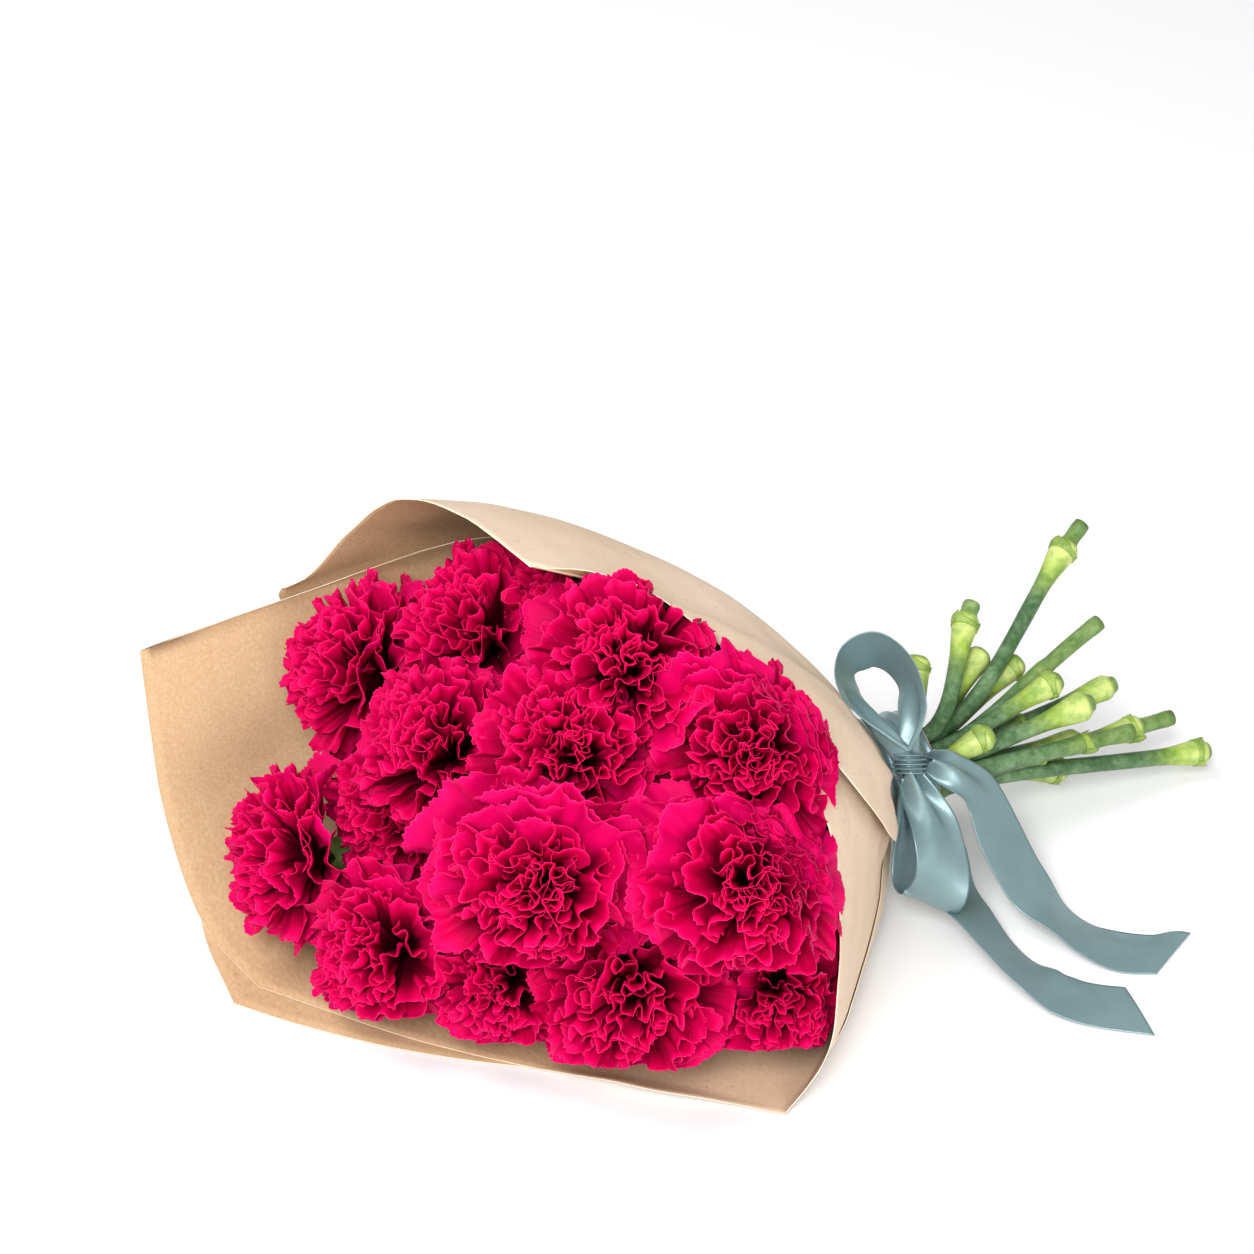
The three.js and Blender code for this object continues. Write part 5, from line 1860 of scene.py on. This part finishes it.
    def parts(self) -> dict[str, tuple[Surface, str, str]]:
        """Every part of the ribbon.

        Returns:
            Name of each part to its surface, the CAD node that it stands for, and how it is held.
        """
        upper_loop = self.in_bow(
            ((-2.5, 3.5, -1.0), (0.1, 0, 0.99), 0.3), ((-8.5, 10, -1), (0.3, 0.05, 0.94), 0.55),
            ((-16, 18.5, 0), (0.4, 0.03, 0.9), 0.9), ((-24, 28.5, 0), (0.42, 0, 0.91), 1),
            ((-27, 37.5, 0), (0.38, -0.16, 0.91), 1), ((-23.6, 44.2, 0), (0.3, -0.5, 0.81), 1),
            ((-15.5, 47.6, 0), (0.1, -0.6, 0.79), 1), ((-6.6, 43.6, 0), (-0.1, -0.5, 0.86), 1),
            ((0.2, 33.5, 0), (-0.28, -0.28, 0.92), 1), ((1.2, 21, 0), (-0.5, 0, 0.86), 0.95),
            ((0.6, 10, 0.8), (-0.42, 0, 0.9), 0.6), ((0.5, 3.5, 1.0), (-0.3, 0, 0.95), 0.32),
        )
        lower_loop = self.in_bow(
            ((-0.5, -4.0, -2.0), (0.9, 0.1, 0.3), 0.32), ((4, -13, -6), (0.85, 0.05, 0.45), 0.66),
            ((9, -23, -10), (0.82, -0.05, 0.5), 0.95), ((11.7, -34, -12.5), (0.82, -0.1, 0.5), 1),
            ((12.5, -46, -11), (0.84, -0.25, 0.4), 1), ((10.5, -55, -5.5), (0.88, -0.42, 0.2), 1),
            ((7.5, -57.5, 1), (0.88, -0.42, 0.2), 1), ((4.8, -52, 7), (0.9, -0.3, 0.3), 1),
            ((4.4, -41, 9.5), (0.9, -0.2, 0.4), 1), ((4.6, -28, 8), (0.9, -0.1, 0.4), 0.95),
            ((2, -14, 5), (0.9, 0.1, 0.3), 0.7), ((-0.5, -4.0, 2.0), (0.9, 0.1, 0.3), 0.34),
        )
        near = self.in_bow(
            ((3, -6, 3.4), (0.96, 0.15, 0.2), 0.3), ((8, -22, 10), (0.96, 0.15, 0.2), 0.7),
            ((14, -40, 15), (0.94, 0.1, 0.3), 1), ((19, -54, 16), (0.86, 0.1, 0.5), 1),
        )
        # From here on the tails are given in the working frame, down to the ground.
        near += [
            ((6.5, -66, 13.5), (0.9, 0.3, -0.45), 1), ((9, -82, 10), (0.82, 0.4, -0.5), 1),
            ((14, -98, 6.5), (0.7, 0.6, -0.35), 1), ((23, -111, 2.6), (0.6, 0.78, -0.05), 1),
            ((34, -121, 0.9), (0.6, 0.8, 0.0), 1), ((54, -135.5, 0.8), (0.58, 0.81, 0.0), 1),
        ]
        far = [
            ((5, -22, 67), (0.1, 0.6, 0.6), 0.3), ((17, -27, 58.5), (0.3, 0.9, 0.15), 0.9),
            ((25, -33, 50), (0.7, 0.6, 0.0), 1), ((28.5, -47, 34), (0.9, 0.4, 0.0), 1),
            ((33.5, -63, 18), (0.9, 0.45, 0.0), 1), ((40.5, -76.5, 9), (0.78, 0.44, -0.38), 1),
            ((48.5, -88.5, 3.8), (0.66, 0.7, -0.2), 1), ((59.5, -98.5, 0.9), (0.6, 0.8, 0.0), 1),
            ((71.5, -105, 0.8), (0.6, 0.85, 0.0), 1),
        ]
        band = self.wrap(TIE_CENTRE, np.array([1.0, 0, 0]), -WORLD_UP, (23.6, 23.6), 0.9, 4)
        knot = self.wrap(self.bow(0, 0, 0.5), self.way(-0.15, 1, 0), self.way(0, 0, 1), (5.8, 6.0), 0.38, 5,
                         slope=1.2)
        return {
            "satin_waist_band": (band, "ribbon_waist_band", "gathered"),
            "satin_knot": (knot, "ribbon_knot", "gathered"),
            "satin_upper_loop": (self.strip(upper_loop, 0.5), "ribbon_upper_loop", "folded"),
            "satin_lower_loop": (self.strip(lower_loop, 0.8), "ribbon_lower_loop", "folded"),
            "satin_tail_near": (self.strip(near, 0.6, -14.0), "ribbon_tail_near", "hung"),
            "satin_tail_far": (self.strip(far, 0.6, 16.0), "ribbon_tail_far", "hung"),
        }

    def build(self) -> None:
        """Every part as a piece."""
        material = self.finish.material()
        for name, (surface, node, held) in self.parts().items():
            piece = place(surface.mesh(name), material, Slot.RIBBON, node)


# ---- studio
@dataclass
class Studio:
    """Pale floor, soft lights and the camera at the photograph's angle."""

    aim: tuple = (0.32374, 0.69427, -0.64279)  # Where the camera looks
    eye: tuple = (-0.4961, -0.9528, 1.0429)  # Where it stands
    lens: float = 100.0  # Its focal length in millimetres
    floor_half: float = 6.0  # Half the side of the floor
    # Name, place, side and power of each lamp.
    lamps: tuple = (
        ("key_light", (-0.9, -1.1, 1.7), 0.8, 37.0),
        ("top_light", (-0.9, 0.4, 1.8), 0.9, 21.0),
        ("fill_light", (-0.1, -1.8, 0.7), 1.0, 19.0),
    )
    sky: float = 0.52  # Strength of the light from all round

    def build_floor(self) -> None:
        """The floor."""
        side = self.floor_half
        corners = [(-side, -side, 0), (side, -side, 0), (side, side, 0), (-side, side, 0)]
        mesh = bpy.data.meshes.new("studio_floor")
        mesh.from_pydata(corners, [], [(0, 1, 2, 3)])
        mesh.materials.append(FloorFinish().material())
        floor = bpy.data.objects.new("studio_floor", mesh)
        bpy.context.scene.collection.objects.link(floor)

    def lamp(self, name: str, at: tuple, size: float, watts: float) -> None:
        """A soft square lamp that looks at the bunch.

        Args:
            name: Its name.
            at: Its place.
            size: Its side.
            watts: Its power.
        """
        data = bpy.data.lights.new(name, "AREA")
        data.size = size
        data.energy = watts
        lamp = bpy.data.objects.new(name, data)
        lamp.location = at
        lamp.rotation_euler = (Vector((0, 0, 0.05)) - Vector(at)).to_track_quat("-Z", "Y").to_euler()
        bpy.context.scene.collection.objects.link(lamp)

    def build(self) -> None:
        """Everything round the object."""
        self.build_floor()
        for lamp in self.lamps:
            self.lamp(*lamp)
        world = bpy.data.worlds.new("studio_world")
        world.use_nodes = True
        back = world.node_tree.nodes["Background"]
        back.inputs["Color"].default_value = (1.0, 1.0, 1.0, 1.0)
        back.inputs["Strength"].default_value = self.sky
        scene = bpy.context.scene
        scene.world = world
        scene.view_settings.view_transform = "Standard"
        scene.view_settings.look = "None"
        data = bpy.data.cameras.new("camera")
        data.lens = self.lens
        data.sensor_width = 36.0
        data.clip_end = 50.0
        camera = bpy.data.objects.new("camera", data)
        camera.location = self.eye
        camera.rotation_mode = "QUATERNION"
        camera.rotation_quaternion = Vector(self.aim).to_track_quat("-Z", "Y")
        bpy.context.scene.collection.objects.link(camera)
        scene.camera = camera


# ---- the whole bunch
def main() -> None:
    """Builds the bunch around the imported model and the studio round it."""
    logging.basicConfig(level=logging.INFO, format="%(name)s: %(message)s")
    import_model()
    Studio().build()
    paper = RolledPaper()
    PaperWrap(paper).build()
    stems = StemMaker(paper)
    stem_material = stems.finish.material()
    for flower in CARNATIONS:
        stems.build(flower, stem_material)
    blooms = BloomMaker(paper)
    blooms.prepare()
    for flower in CARNATIONS:
        blooms.build(flower)
    blooms.clear()
    RibbonMaker().build()


if __name__ == "__main__":
    main()
